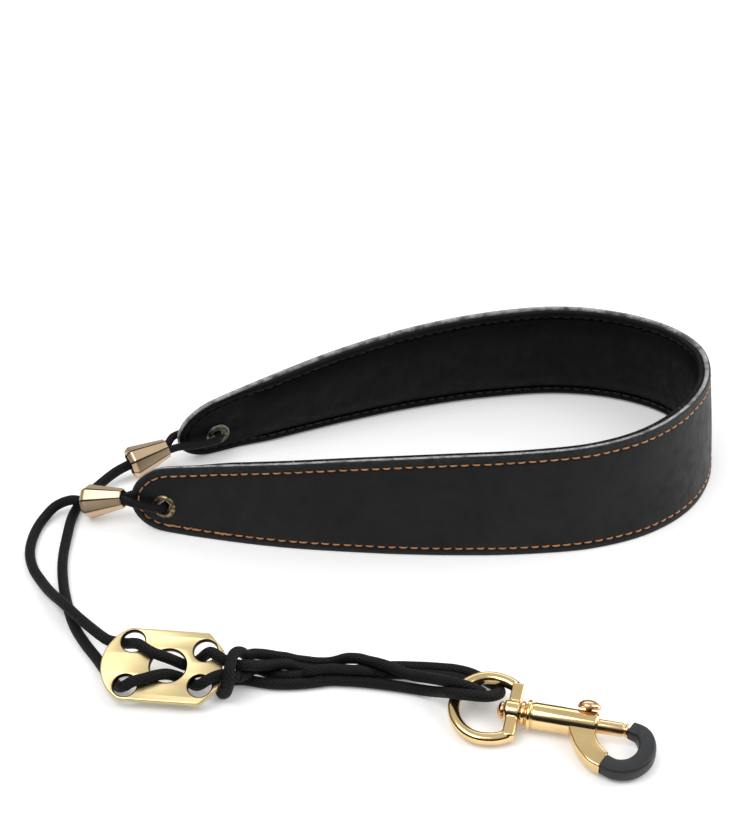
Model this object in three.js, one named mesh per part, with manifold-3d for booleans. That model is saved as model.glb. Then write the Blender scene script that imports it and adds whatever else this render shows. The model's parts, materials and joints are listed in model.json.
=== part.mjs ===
// Saxophone neck strap: a padded leather neck band that stands on its lower edge, two cords that leave
// it through eyelets and bell caps, a sliding adjuster plate, and a swivel bolt snap on a D eye.
// Units are millimetres, +Z is up and the strap rests on z = 0. X runs along the band and +Y goes
// from the hook towards the far side of the band.

import * as THREE from 'three';
import { mergeVertices } from 'three/addons/utils/BufferGeometryUtils.js';
import Module from 'manifold-3d';

const wasm = await Module();
wasm.setup();

// ---------------------------------------------------------------- driving dimensions

const GAP = 0.3;                    // air left between pieces that touch
const RECENTRE = [0.4, -1.95, 0];   // puts the origin under the middle of the strap without its cords

// Neck band. Each point is x, y and the inward lean of the wall over its full height.
const BAND_PLAN = [
  [-110, 22.6, 8], [-82, 14.7, 5.5], [-50, 8.2, 3.6], [-18, 4.7, 3], [14, 3.0, 3],
  [46, 3.7, 3], [74, 7.8, 4], [98, 18.2, 5.7], [117, 36.5, 6.4], [127.6, 62, 4.9],
  [127.6, 88, 4.9], [116, 108, 6.2], [95, 120.5, 6], [68, 125.2, 5], [36, 121.6, 5],
  [4, 113.3, 5.3], [-28, 101.3, 5.8], [-60, 86.8, 6.5], [-96, 69.8, 7],
];
const BAND_HEIGHT = 45.5;           // width of the strap at its middle
const TIP_HEIGHT = 24;              // width of the strap towards either end
const TAPER_LENGTH = 185;
const TAPER_POWER = 2.3;
const NOSE_LENGTH = 16;             // rounded end of the strap
const NOSE_POWER = 2.2;
const NOSE_CENTRE = 12;             // height of the middle of the rounded end
const LEATHER = 2.2;
const LINING = 1.0;
const PAD = 3.0;                    // how far the padding lifts the lining
const PAD_START = 34;               // distance from the strap's end to the padding
const PAD_BLEND = 18;
const PAD_EDGE = [0.1, 0.2];        // share of the width over which the lining rises to the padding
const LINING_INSET = 0.4;           // the lining ends this far inside the leather's edge
const BAND_STEPS = 52;
const STITCH_INSET = 3.4;           // seam line from the strap's edge
const STITCH_RADIUS = 0.35;
const STITCH_STEP = 8;

// Eyelets
const EYELET_AT = { front: 14.5, back: 17 };    // distance from the strap's end, along the band
const EYELET_HEIGHT = 11.4;
const EYELET_FLANGE = 5.0;
const EYELET_BARREL = 3.2;
const EYELET_BORE = 2.7;
const EYELET_THICK = 0.8;
const EYELET_ROUND = 0.6;           // how far its face slopes down to its edge
const EYELET_CLENCH = 1;            // how far its far end is spread over the washer
const WASHER_ROUND = 0.4;

// Bell caps: centre of the narrow mouth, and a point on the axis towards the wide mouth
const CAP_LENGTH = 17.2;
const CAP_FACETS = 8;
const CAP_PROFILE = [               // radius and distance from the narrow mouth
  [3.1, 0], [3.8, 0], [6.6, 14.6], [6.6, 15.2], [5.5, CAP_LENGTH], [4.9, CAP_LENGTH], [5.3, 14.8],
  [3.1, 1.6], [3.1, 0],
];
const KNOT_PROFILE = [[0, 0.2], [2.4, 0.2], [2.6, 2.4], [3.8, 7.8], [3.9, 10], [2.8, 12], [0, 12.4]];
const KNOT_SIDES = 12;
const CAP_PLACES = {
  front: { narrow: [-112.2, 26, 11.2], wide: [-128, 29.6, 6.9] },
  back: { narrow: [-98.6, 63, 10.4], wide: [-114.2, 55.3, 6.9] },
};

// Cord
const CORD_RADIUS = 1.85;
const LOOP_RADIUS = 1.5;            // the cord is squeezed where it passes the eyelet
const LOOP_SPREAD = 1.7;            // half the distance between its two strands at the cap
const LOOP_LEAVES = 1.2;            // distance of their ends from the cap's mouth
const LOOP_CLEAR = 0.7;             // air between a strand and the face of the band
const LOOP_STEP = 2.4;

// One side of the loop: distance from the eyelet's axis and height over the face of the band.
const LOOP_SIDE = [[10.5, 3.4], [6.4, 3.3], [3.6, 3.3], [1.4, 2.9], [0.2, 1.1]];
const CORD_SIDES = 8;
const CORD_STEP = 12;               // between rings of a tube that lies free
const RUN_STEP = 3;                 // where it winds round itself between plate and eye
const BEND_STEP = 2.5;              // where it bends round something

// Adjuster plate: centre of the middle hole, turn about Z and lift of the far edge
const PLATE_CENTRE = [-85.3, -72.6, 9];
const PLATE_YAW = -6;
const PLATE_TILT = 22;
const PLATE_THICK = 2;
const PLATE_BEVEL = 0.3;
const PLATE_HALF_WIDTH = 14.1;
const PLATE_RIGHT = 19.2;
const PLATE_LEFT = -24;
const PLATE_ARC_START = -15.5;
const PLATE_CHAMFER = [6.3, 6.8];
const PLATE_HOLES = [
  { x: -13.9, y: 8.7, r: 4.15 }, { x: -13.9, y: -8.7, r: 4.15 }, { x: 0, y: 0, r: 6.4 },
  { x: 12.4, y: 6.9, r: 4.15 }, { x: 12.4, y: -6.9, r: 4.15 },
];

// Hook frame: X from the eye's bar towards the tip, Y away from the arm. Turn about Z, roll about X.
const HOOK_ORIGIN = [37.1, -92.6, 5.6];
const HOOK_YAW = -13.8;
const HOOK_ROLL = 6;
const EYE_ROLL = 12;
const EYE_WIRE = 2.1;
const EYE_BOW = [[-2, 9.6], [-6, 12], [-11.5, 12.9], [-17, 11.2], [-21.3, 6.6]];
const EYE_DEPTH = 22.9;             // from the bar's outer face to the bow's wire centre
const EYE_BAR = { length: 4.4, width: 22, height: 4.4 };
const EYE_BOSS = { radius: 4, length: 5.4, chamfer: 0.8 };
const STUD = { shank: 2.0, head: 3.1, headLength: 2.2, chamfer: 0.9 };
const COLLARS = [[4.3, 1.8], [3.4, 2.2], [5.2, 4.0], [4.4, 4.4]];
const EDGE = 0.6;                   // chamfer of the barrel's end
const BARREL_RADIUS = 4.7;
const BARREL_END = 27;
const BORE_RADIUS = 2.85;
const BORE_START = 5.5;
const PLUNGER = { radius: 2.5, tail: 17.5, groove: 0.4, ring: 1, tip: 37.4 };
const THUMB_TRAVEL = 7.5;
const THUMB_AT = 23.2;
const THUMB_ANGLE = 40;             // from the side away from the arm, up over the barrel
const THUMB = { stem: 1.2, foot: 2.8, base: 5.1, rim: 0.7, radius: 4.2, top: 8.4 };
const SPRING = { radius: 1.9, wire: 0.35, from: 6.2, to: 16.8, turns: 6, perTurn: 10, step: 1.5 };
const BLADE_INNER = [[26.6, -3], [27.2, -6.2], [29.3, -9.8], [32.2, -12.6]];
const BLADE_OUTER = [[29.9, -19.4], [25.6, -17.4], [22, -13.2], [19.2, -8.4], [16.8, -3]];
const BLADE_THICK = 4.8;
const BLADE_BEVEL = 0.8;
const ARM_CENTRE = [
  [31, -16.1], [35.2, -17.6], [40.2, -16.3], [43.9, -11.6], [44.4, -6], [42.1, -1.3], [38.3, 0.4],
];
const ARM_CORE = 1.9;
const SLEEVE_RADIUS = 3;
const SLEEVE_START = 0.8;

// Routes of the cord. The leads run from the caps to the plate, each in two lengths.
const LEAD_FRONT = [
  [-125.2, 28.8, 7.7], [-129, 29.9, 6.8], [-134.4, 31.4, 6.4], [-140.4, 30.2, 4.4], [-144.6, 24.6, 2.4],
  [-146.8, 15.6, 2], [-146.8, 3, 2], [-143.9, -7.3, 2], [-139.2, -16, 2.3], [-134, -25.2, 4.2],
  [-127.8, -34.2, 6.3], [-121.8, -41.6, 6.4], [-116.2, -48, 6.6], [-111.4, -53.4, 7], [-108.8, -56.2, 7.5],
];
const LEAD_BACK = [
  [-110.8, 57, 7.7], [-114.4, 55.2, 6.8], [-119.4, 52.1, 5.4], [-125.8, 45.9, 3], [-130.8, 37.6, 2],
  [-133.4, 27.5, 2], [-133.8, 13, 2], [-133.2, -3, 2], [-131, -16.4, 2], [-128, -28, 2],
  [-123.6, -41, 2], [-118.4, -51, 2], [-112.6, -60, 2], [-108.2, -67.8, 2.2],
];
const LEAD_SPLIT = 6;               // the point where each lead is divided into two lengths

// Runs between the plate and the eye. At the plate, far_low and near_top go on from the threads, and
// far_top and near_low from the hitch.
const RUNS = {
  far_top: [
    [-59.4, -68.3, 11.9], [-58.3, -66.9, 9.6], [-55.6, -64.7, 8.2], [-52.9, -63.7, 7.2],
    [-50.1, -63.1, 6.2], [-47.3, -62.7, 5.2], [-44.5, -61.8, 4], [-40.9, -61.4, 2.5], [-37.4, -61.6, 2.1],
    [-33.7, -62.3, 2.1], [-28.7, -62.2, 2.1], [-25.9, -62.3, 3], [-23.3, -62.7, 4.3], [-20.8, -64.1, 5.7],
    [-17.9, -65.4, 6.5], [-15.1, -66.4, 6.4], [-11.5, -67.6, 6.4], [-8, -69, 6.2], [-5.2, -70.5, 6],
    [-2.4, -72.2, 5.9], [1.1, -73.9, 6.1], [4.6, -75.5, 6.8], [8.7, -78.4, 8.4],
  ],
  far_low: [
    [-60.2, -73.4, 10.5], [-58.2, -73.5, 10.6], [-55.1, -72.5, 9.6], [-52.5, -70.8, 8.1],
    [-49.8, -68.7, 6.5], [-47, -67.5, 5.8], [-44.3, -66.3, 4.8], [-42.5, -65.6, 3.7], [-40.4, -65.4, 2.6],
    [-37.2, -65.7, 2.1], [-33.6, -66.3, 2.1], [-28.6, -66.3, 2.1], [-23.3, -66.5, 2.1],
    [-20.8, -66.6, 2.1], [-17.9, -66.2, 2.1], [-14.4, -65.6, 2.1], [-10.8, -64.9, 2.1],
    [-7.6, -64.5, 2.1], [-3, -64.4, 2.1], [1.3, -64.6, 2.1], [6.3, -64.9, 2.1], [11, -65.4, 2.1],
  ],
  near_top: [
    [-60.8, -76.7, 8.2], [-60, -75.4, 7], [-58, -73.4, 6.3], [-56.8, -71.2, 5.8], [-55.5, -69.1, 4.9],
    [-53.5, -67.8, 3.6], [-51.4, -67.8, 2.6], [-49.2, -68.2, 2.1], [-46.4, -69.2, 2.1],
    [-43.5, -69.5, 2.1], [-40.7, -69.6, 2.1], [-37.8, -69.5, 2.5], [-36.3, -70, 3.9], [-34.9, -70.2, 4.8],
    [-32.8, -70, 5.1], [-28.6, -69.2, 5], [-23.2, -69.6, 5], [-20.7, -69.8, 5], [-17.9, -69.8, 4.9],
    [-14.7, -70, 4.1], [-11.5, -69.2, 2.3], [-6.6, -68.4, 2.1], [-2.3, -68.4, 2.1], [2, -68.7, 2.1],
    [6.2, -69.1, 2.1], [10.8, -69.6, 2.1],
  ],
  near_low: [
    [-59.1, -71.5, 2.1], [-56.8, -72, 2.1], [-53.2, -72.9, 2.1], [-49, -73.7, 2.1], [-42.6, -73.9, 2.1],
    [-37, -73.4, 2.1], [-33.5, -72.8, 2.1], [-28.5, -71.9, 2.1], [-23.2, -72.1, 2.1], [-17.9, -72.6, 2.1],
    [-12.6, -73.4, 2.1], [-6.6, -74.5, 2.1], [-2.4, -75.4, 2.1], [1.8, -76.4, 2.1], [6, -78.5, 3.1],
    [10, -82.3, 6],
  ],
};

// Where the runs turn round the bow of the eye: far joins near_low to far_low, and near joins far_top
// to near_top. Each goes over the bow, down inside the eye and back under it.
const EYE_TURNS = {
  far: [
    [10.4, -82.8, 6.4], [13.3, -86.8, 9.6], [16.6, -89, 11], [20, -90, 11.4], [23.1, -90, 11],
    [26.2, -88.9, 9.9], [29, -86.2, 8], [30.8, -83.1, 6.2], [30.8, -78.8, 4.1], [28.8, -74.5, 2.7],
    [25.3, -71, 2.2], [21.2, -68, 2.1], [15.9, -66.1, 2.1], [11.7, -65.5, 2.1],
  ],
  near: [
    [9.2, -78.8, 8.7], [12, -81.5, 10.3], [15.4, -83.8, 11.3], [18.8, -85.3, 11.4], [21.6, -85.5, 10.3],
    [23.7, -84.9, 8.4], [24.6, -82.7, 6], [23.3, -78.6, 3.9], [20.9, -74.5, 2.6], [17.9, -71.4, 2.1],
    [14.4, -70.1, 2.1], [11.5, -69.7, 2.1],
  ],
};

// Routes on the adjuster plate, in the plate's own frame: X to the right along it, Z out of its face.
// Each thread comes up through a left hole, down the middle one and up again through a right one. They
// differ up to the middle hole; the rest is THREAD_ON, which the back thread mirrors.
const THREAD_FROM = {
  front: [
    [-24.4, 12, -6.4], [-20.4, 10.8, -5], [-17, 9.6, -3], [-13.9, 8.2, 0.2], [-11, 6.5, 2.9], [-7, 4.2, 3],
    [-3, 3, 2.5], [0.2, 2.7, 1.1],
  ],
  back: [
    [-22.5, -1, -6.9], [-19.8, -4.5, -5.4], [-17, -7.2, -3.6], [-13.9, -8.5, 0.2], [-11, -8, 2.9],
    [-7, -6.6, 3], [-3, -4.9, 2.8], [0.2, -3.5, 1.4],
  ],
};
const THREAD_ON = [
  [3, 2.7, -1.3], [5.8, 2.8, -3.3], [8.4, 4, -3.4], [10.5, 5.2, -2.4], [12.5, 5.8, 0.1], [14.7, 5.6, 2.6],
  [17.4, 4.1, 3.1], [20, 2.8, 2.6], [24.1, 2.2, 0.9],
];
const HITCH = [
  [25.2, 1, -7.9], [22.8, 0.6, -7.7], [20.5, -0.4, -7.1], [19, -2.4, -6.4], [18.8, -4.8, -5.5],
  [19.8, -6.7, -4.2], [21.2, -7.4, -2.2], [22.2, -7, 0.6], [22.8, -5.7, 3.8], [22.8, -2.8, 5.9],
  [22.8, 0.2, 6], [23, 3, 5.5], [23.8, 5.7, 3.7], [25.1, 7.4, 0.7],
];

// Colours
const CORD_COLOR = 0x0b0b0c;
const LEATHER_COLOR = 0x25272b;
const LINING_COLOR = 0x101011;
const FOAM_COLOR = 0x3a3a3c;
const THREAD_COLOR = 0xc8742d;
const BRASS_COLOR = 0x8a7648;
const WASHER_COLOR = 0x8f8b80;
const CAP_COLOR = 0xc9a87c;
const PLATE_COLOR = 0xd9bf74;
const GOLD_COLOR = 0xd8b35c;
const COPPER_COLOR = 0xcf9f5c;
const RUBBER_COLOR = 0x26292d;
const STEEL_COLOR = 0x9a9a98;

// ---------------------------------------------------------------- helpers

function vector([x, y, z]) {
  return new THREE.Vector3(x, y, z);
}

function toSolid(geometry) {
  const bare = geometry.clone();
  bare.deleteAttribute('normal');
  bare.deleteAttribute('uv');
  const merged = mergeVertices(bare, 1e-4);
  const vertProperties = new Float32Array(merged.attributes.position.array);
  const index = merged.index.array;
  const triangles = [];
  for (let i = 0; i < index.length; i += 3) {
    const [a, b, c] = [index[i], index[i + 1], index[i + 2]];
    if (a !== b && b !== c && c !== a) triangles.push(a, b, c);
  }
  const triVerts = new Uint32Array(triangles);
  return new wasm.Manifold(new wasm.Mesh({ numProp: 3, vertProperties, triVerts }));
}

function toGeometry(solid) {
  const mesh = solid.getMesh();
  const geometry = new THREE.BufferGeometry();
  geometry.setAttribute('position', new THREE.BufferAttribute(mesh.vertProperties, 3));
  geometry.setIndex(new THREE.BufferAttribute(mesh.triVerts, 1));
  geometry.computeVertexNormals();
  return geometry;
}

function cut(geometry, ...tools) {
  const solid = tools.reduce((rest, tool) => rest.subtract(toSolid(tool)), toSolid(geometry));
  return toGeometry(solid);
}

function join(...geometries) {
  const [first, ...rest] = geometries.map(toSolid);
  return toGeometry(rest.reduce((whole, piece) => whole.add(piece), first));
}

function mesh(name, geometry, color, metalness, roughness) {
  const material = new THREE.MeshStandardMaterial({ color, metalness, roughness });
  const piece = new THREE.Mesh(geometry, material);
  piece.name = name;
  return piece;
}

function lathe(profile, segments) {
  const points = profile.map(([r, z]) => new THREE.Vector2(r, z));
  const geometry = new THREE.LatheGeometry(points, segments);
  geometry.rotateX(Math.PI / 2);
  return geometry;
}

function cylinder(radius, from, to, segments = 24) {
  return lathe([[0, from], [radius, from], [radius, to], [0, to]], segments);
}

function tube(route, radius, step = CORD_STEP, sides = CORD_SIDES) {
  const curve = new THREE.CatmullRomCurve3(route.map(vector), false, 'centripetal');
  const section = new THREE.Shape();
  for (let i = 0; i < sides; i += 1) {
    const angle = (2 * Math.PI * i) / sides;
    const x = radius * Math.cos(angle);
    const y = radius * Math.sin(angle);
    if (i === 0) section.moveTo(x, y);
    else section.lineTo(x, y);
  }
  const steps = Math.max(3, Math.round(curve.getLength() / step));
  return new THREE.ExtrudeGeometry(section, { steps, bevelEnabled: false, extrudePath: curve });
}

// Options of an extrusion whose edges are bevelled inward by a width.
function bevelled(width) {
  return { bevelThickness: width, bevelSize: width, bevelOffset: -width, bevelSegments: 1 };
}

// ---------------------------------------------------------------- neck band

const bandCurve = new THREE.CatmullRomCurve3(BAND_PLAN.map(vector), false, 'centripetal');
bandCurve.arcLengthDivisions = 800;
const BAND_LENGTH = bandCurve.getLength();

// A point of the band: distance from the front end, height, and depth in from the outer face.
function bandPoint(distance, height, depth) {
  const at = distance / BAND_LENGTH;
  const base = bandCurve.getPointAt(at);
  const along = bandCurve.getTangentAt(at).setZ(0).normalize();
  const inward = new THREE.Vector3(-along.y, along.x, 0);
  const lean = (base.z * height) / BAND_HEIGHT;
  return new THREE.Vector3(base.x, base.y, height).addScaledVector(inward, lean + depth);
}

// Lowest and highest point of the band's outline at a distance from the front end.
function bandEdges(distance, inset = 0) {
  const fromEnd = Math.min(distance, BAND_LENGTH - distance);
  const taper = Math.max(0, 1 - fromEnd / TAPER_LENGTH) ** TAPER_POWER;
  const top = BAND_HEIGHT - (BAND_HEIGHT - TIP_HEIGHT) * taper;
  const short = Math.max(0, 1 - (fromEnd - inset) / (NOSE_LENGTH - inset));
  const nose = (1 - short ** NOSE_POWER) ** (1 / NOSE_POWER);
  return [NOSE_CENTRE - (NOSE_CENTRE - inset) * nose, NOSE_CENTRE + (top - inset - NOSE_CENTRE) * nose];
}

function bandStations(from, noseSteps, bodySteps) {
  const ends = [];
  for (let i = 0; i < noseSteps; i += 1) {
    const along = 1 - Math.cos((Math.PI / 2) * ((i + 0.25) / noseSteps));
    ends.push(from + (NOSE_LENGTH + 2 - from) * along);
  }
  const start = NOSE_LENGTH + 2;
  const body = [];
  for (let i = 0; i <= bodySteps; i += 1) body.push(start + ((BAND_LENGTH - 2 * start) * i) / bodySteps);
  return [...ends, ...body, ...ends.map((at) => BAND_LENGTH - at).reverse()];
}

// A bent sheet between two depths, on the given stations along the band and rows across it.
function bandSheet(stations, rows, inset, outerDepth, innerDepth) {
  const [columns, lines] = [stations.length - 1, rows.length - 1];
  const geometry = new THREE.BoxGeometry(1, 1, 1, columns, 1, lines);
  const position = geometry.attributes.position;
  for (let i = 0; i < position.count; i += 1) {
    const station = stations[Math.round((position.getX(i) + 0.5) * columns)];
    const row = rows[Math.round((position.getZ(i) + 0.5) * lines)];
    const [low, high] = bandEdges(station, inset);
    const depth = position.getY(i) > 0 ? innerDepth(station, row) : outerDepth(station, row);
    const point = bandPoint(station, low + (high - low) * row, depth);
    position.setXYZ(i, point.x, point.y, point.z);
  }
  return geometry;
}

// How far the padding lifts the lining, by place along and across the band.
function padLift(station, row) {
  const fromEnd = Math.min(station, BAND_LENGTH - station);
  const { smoothstep } = THREE.MathUtils;
  const lengthwise = smoothstep(fromEnd, PAD_START - PAD_BLEND / 2, PAD_START + PAD_BLEND / 2);
  const crosswise = smoothstep(Math.min(row, 1 - row), ...PAD_EDGE);
  return PAD * lengthwise * crosswise;
}

function eyeletFrame(distance) {
  const centre = bandPoint(distance, EYELET_HEIGHT, 0);
  const along = bandPoint(distance + 1, EYELET_HEIGHT, 0).sub(bandPoint(distance - 1, EYELET_HEIGHT, 0));
  const rise = bandPoint(distance, EYELET_HEIGHT + 1, 0).sub(centre);
  const outward = new THREE.Vector3().crossVectors(along, rise).normalize();
  along.normalize();
  const up = new THREE.Vector3().crossVectors(outward, along);
  return new THREE.Matrix4().makeBasis(along, up, outward).setPosition(centre);
}

const EYELETS = {
  front: eyeletFrame(EYELET_AT.front),
  back: eyeletFrame(BAND_LENGTH - EYELET_AT.back),
};
const SEWN = LEATHER + GAP + LINING;      // thickness of the band where there is no padding

function eyeletHoles() {
  const hole = () => cylinder(EYELET_BARREL + GAP, -2 * SEWN, SEWN);
  return Object.values(EYELETS).map((frame) => hole().applyMatrix4(frame));
}

function outerLeather() {
  const sheet = bandSheet(bandStations(0, 4, BAND_STEPS), [0, 1], 0, () => 0, () => LEATHER);
  return mesh('outer_leather', cut(sheet, ...eyeletHoles()), LEATHER_COLOR, 0, 0.5);
}

function lining() {
  const rows = [0, PAD_EDGE[0], PAD_EDGE[1], 1 - PAD_EDGE[1], 1 - PAD_EDGE[0], 1];
  const outer = (station, row) => LEATHER + GAP + padLift(station, row);
  const inner = (station, row) => outer(station, row) + LINING;
  const sheet = bandSheet(bandStations(LINING_INSET, 4, BAND_STEPS), rows, LINING_INSET, outer, inner);
  return mesh('lining', cut(sheet, ...eyeletHoles()), LINING_COLOR, 0, 0.95);
}

function foamPad() {
  const rows = [PAD_EDGE[1], 1 - PAD_EDGE[1]];
  const padded = (at) => Math.min(at, BAND_LENGTH - at) > PAD_START;
  const stations = bandStations(LINING_INSET, 4, BAND_STEPS).filter(padded);
  const inner = (station, row) => LEATHER + padLift(station, row);
  const sheet = bandSheet(stations, rows, LINING_INSET, () => LEATHER + GAP, inner);
  return mesh('foam_pad', sheet, FOAM_COLOR, 0, 1);
}

// The running stitch goes once round the band's outer face; its ends lie side by side at the front.
function edgeStitching() {
  const out = -(STITCH_RADIUS + GAP);
  const route = [];
  const seam = bandStations(STITCH_INSET, 4, 48);
  const place = (at, side) => {
    const height = bandEdges(at, STITCH_INSET)[side];
    const point = bandPoint(at, height, out);
    route.push([point.x, point.y, point.z]);
  };
  const start = seam.findIndex((at) => at > NOSE_LENGTH + 20);
  seam.slice(0, start).reverse().forEach((at) => place(at, 0));
  seam.forEach((at) => place(at, 1));
  seam.slice(start + 1).reverse().forEach((at) => place(at, 0));
  return mesh('edge_stitching', tube(route, STITCH_RADIUS, STITCH_STEP, 4), THREAD_COLOR, 0, 0.8);
}

function eyelet(side) {
  const lip = -SEWN - 2 * GAP - EYELET_THICK;
  const profile = [
    [EYELET_BORE, EYELET_THICK], [EYELET_FLANGE - EYELET_ROUND, EYELET_THICK + GAP],
    [EYELET_FLANGE, EYELET_THICK - GAP], [EYELET_FLANGE, GAP], [EYELET_BARREL, GAP], [EYELET_BARREL, lip],
    [EYELET_BARREL + EYELET_CLENCH, lip], [EYELET_BARREL + EYELET_CLENCH, lip - EYELET_ROUND],
    [EYELET_BORE, lip - EYELET_ROUND], [EYELET_BORE, EYELET_THICK],
  ];
  const ring = lathe(profile.reverse(), 20).applyMatrix4(EYELETS[side]);
  return mesh(`eyelet_${side}`, ring, BRASS_COLOR, 0.9, 0.4);
}

function washer(side) {
  const top = -SEWN - GAP;
  const bottom = top - EYELET_THICK + GAP;
  const inner = EYELET_BARREL + GAP;
  const profile = [
    [inner, top], [EYELET_FLANGE, top], [EYELET_FLANGE - WASHER_ROUND, bottom], [inner, bottom],
    [inner, top],
  ];
  const ring = lathe(profile.reverse(), 20).applyMatrix4(EYELETS[side]);
  return mesh(`washer_${side}`, ring, WASHER_COLOR, 0.9, 0.4);
}

// ---------------------------------------------------------------- bell caps and the cord in them

// Frame of a cap: origin at the narrow mouth, Z towards the wide mouth.
function capFrame({ narrow, wide }) {
  const axis = vector(wide).sub(vector(narrow)).normalize();
  const turn = new THREE.Quaternion().setFromUnitVectors(new THREE.Vector3(0, 0, 1), axis);
  return new THREE.Matrix4().compose(vector(narrow), turn, new THREE.Vector3(1, 1, 1));
}

const CAPS = { front: capFrame(CAP_PLACES.front), back: capFrame(CAP_PLACES.back) };

function bellCap(side) {
  const cap = lathe(CAP_PROFILE, CAP_FACETS).applyMatrix4(CAPS[side]);
  return mesh(`bell_cap_${side}`, cap, CAP_COLOR, 1, 0.25);
}

function knot(side) {
  const turns = lathe(KNOT_PROFILE, KNOT_SIDES).applyMatrix4(CAPS[side]);
  return mesh(`cord_knot_${side}`, turns, CORD_COLOR, 0, 0.9);
}

// The cord leaves the cap's narrow mouth, goes through the eyelet and comes back on the other side.
function eyeletLoop(side) {
  const sign = side === 'front' ? -1 : 1;
  const frame = EYELETS[side];
  const outward = new THREE.Vector3().setFromMatrixColumn(frame, 2);
  const leave = new THREE.Vector3().setFromMatrixColumn(CAPS[side], 2).multiplyScalar(-LOOP_LEAVES);
  const strand = (face, direction) => {
    const start = vector(CAP_PLACES[side].narrow).add(leave);
    start.addScaledVector(outward, direction * LOOP_SPREAD);
    const height = face + direction * (LOOP_RADIUS + LOOP_CLEAR);
    const tip = new THREE.Vector3(sign * (EYELET_AT[side] + LOOP_CLEAR), 0, height);
    const lip = face + (direction > 0 ? 0 : -EYELET_THICK);
    const rest = LOOP_SIDE.map(([x, z]) => new THREE.Vector3(sign * x, 0, lip + direction * z));
    return [start, ...[tip, ...rest].map((point) => point.applyMatrix4(frame))];
  };
  const middle = new THREE.Vector3(0, 0, -SEWN / 2).applyMatrix4(frame);
  const back = strand(-SEWN, -1).reverse();
  const route = [...strand(0, 1), middle, ...back].map((point) => point.toArray());
  return mesh(`eyelet_loop_${side}`, tube(route, LOOP_RADIUS, LOOP_STEP), CORD_COLOR, 0, 0.9);
}

// ---------------------------------------------------------------- cord

function cord(name, route, step = CORD_STEP) {
  return mesh(name, tube(route, CORD_RADIUS, step), CORD_COLOR, 0, 0.9);
}

// Cuts a route at one of its points and leaves a small gap between the two lengths.
function splitRoute(route, at) {
  const step = vector(route[at + 1]).sub(vector(route[at - 1])).setLength(GAP);
  const before = vector(route[at]).sub(step).toArray();
  const after = vector(route[at]).add(step).toArray();
  return [[...route.slice(0, at), before], [after, ...route.slice(at + 1)]];
}

function leads() {
  const pieces = [];
  for (const [side, route] of Object.entries({ front: LEAD_FRONT, back: LEAD_BACK })) {
    const [upper, lower] = splitRoute(route, LEAD_SPLIT);
    pieces.push(cord(`lead_${side}_upper`, upper), cord(`lead_${side}_lower`, lower));
  }
  return pieces;
}

function runs() {
  return Object.entries(RUNS).map(([name, route]) => cord(`run_${name}`, route, RUN_STEP));
}

function eyeTurns() {
  return Object.entries(EYE_TURNS).map(([name, route]) => cord(`eye_turn_${name}`, route, BEND_STEP));
}

// ---------------------------------------------------------------- adjuster plate

function placed(origin, yaw, roll) {
  const turn = new THREE.Euler(THREE.MathUtils.degToRad(roll), 0, THREE.MathUtils.degToRad(yaw), 'ZYX');
  const rotation = new THREE.Quaternion().setFromEuler(turn);
  return new THREE.Matrix4().compose(vector(origin), rotation, new THREE.Vector3(1, 1, 1));
}

function groupAt(matrix, ...pieces) {
  const group = new THREE.Group();
  matrix.decompose(group.position, group.quaternion, group.scale);
  group.add(...pieces);
  return group;
}

function adjusterPlate() {
  const [cornerX, cornerY] = PLATE_CHAMFER;
  const half = PLATE_HALF_WIDTH;
  const rise = PLATE_ARC_START - PLATE_LEFT;
  const radius = (half ** 2 + rise ** 2) / (2 * rise);
  const centre = PLATE_LEFT + radius;
  const angle = Math.atan2(half, PLATE_ARC_START - centre);
  const outline = new THREE.Shape();
  outline.moveTo(PLATE_RIGHT - cornerX, -half);
  outline.lineTo(PLATE_RIGHT, cornerY - half);
  outline.lineTo(PLATE_RIGHT, half - cornerY);
  outline.lineTo(PLATE_RIGHT - cornerX, half);
  outline.absarc(centre, 0, radius, angle, -angle, false);
  for (const { x, y, r } of PLATE_HOLES) {
    const hole = new THREE.Path();
    hole.absarc(x, y, r, 0, 2 * Math.PI, true);
    outline.holes.push(hole);
  }
  const depth = PLATE_THICK - 2 * PLATE_BEVEL;
  const plate = new THREE.ExtrudeGeometry(outline, { depth, ...bevelled(PLATE_BEVEL), curveSegments: 8 });
  plate.translate(0, 0, -depth / 2);
  return mesh('adjuster_plate', plate, PLATE_COLOR, 1, 0.2);
}

function adjuster() {
  const mirrored = THREAD_ON.map(([x, y, z]) => [x, -y, z]);
  return groupAt(
    placed(PLATE_CENTRE, PLATE_YAW, PLATE_TILT),
    adjusterPlate(),
    cord('thread_front', [...THREAD_FROM.front, ...THREAD_ON], BEND_STEP),
    cord('thread_back', [...THREAD_FROM.back, ...mirrored], BEND_STEP),
    cord('hitch', HITCH, BEND_STEP),
  );
}

// ---------------------------------------------------------------- D eye and swivel stud

// A solid of revolution about the hook's own axis, from [radius, x] points.
function turned(profile, segments = 24) {
  return lathe(profile, segments).rotateY(Math.PI / 2);
}

function dEye() {
  const half = EYE_BOW.map(([x, y]) => [x, y, 0]);
  const mirror = half.map(([x, y, z]) => [x, -y, z]).reverse();
  const bow = tube([...half, [-EYE_DEPTH, 0, 0], ...mirror], EYE_WIRE, 3, 10);
  const bar = new THREE.BoxGeometry(EYE_BAR.length, EYE_BAR.width, EYE_BAR.height);
  bar.translate(-EYE_BAR.length / 2, 0, 0);
  const { radius, length, chamfer } = EYE_BOSS;
  const boss = turned([
    [0, -length], [radius - chamfer, -length], [radius, chamfer - length], [radius, 0], [0, 0],
  ], 8);
  const bore = turned([[0, -length - 1], [STUD.shank + GAP, -length - 1], [STUD.shank + GAP, 1], [0, 1]]);
  return mesh('d_eye', cut(join(bow, bar, boss), bore), GOLD_COLOR, 1, 0.15);
}

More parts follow.
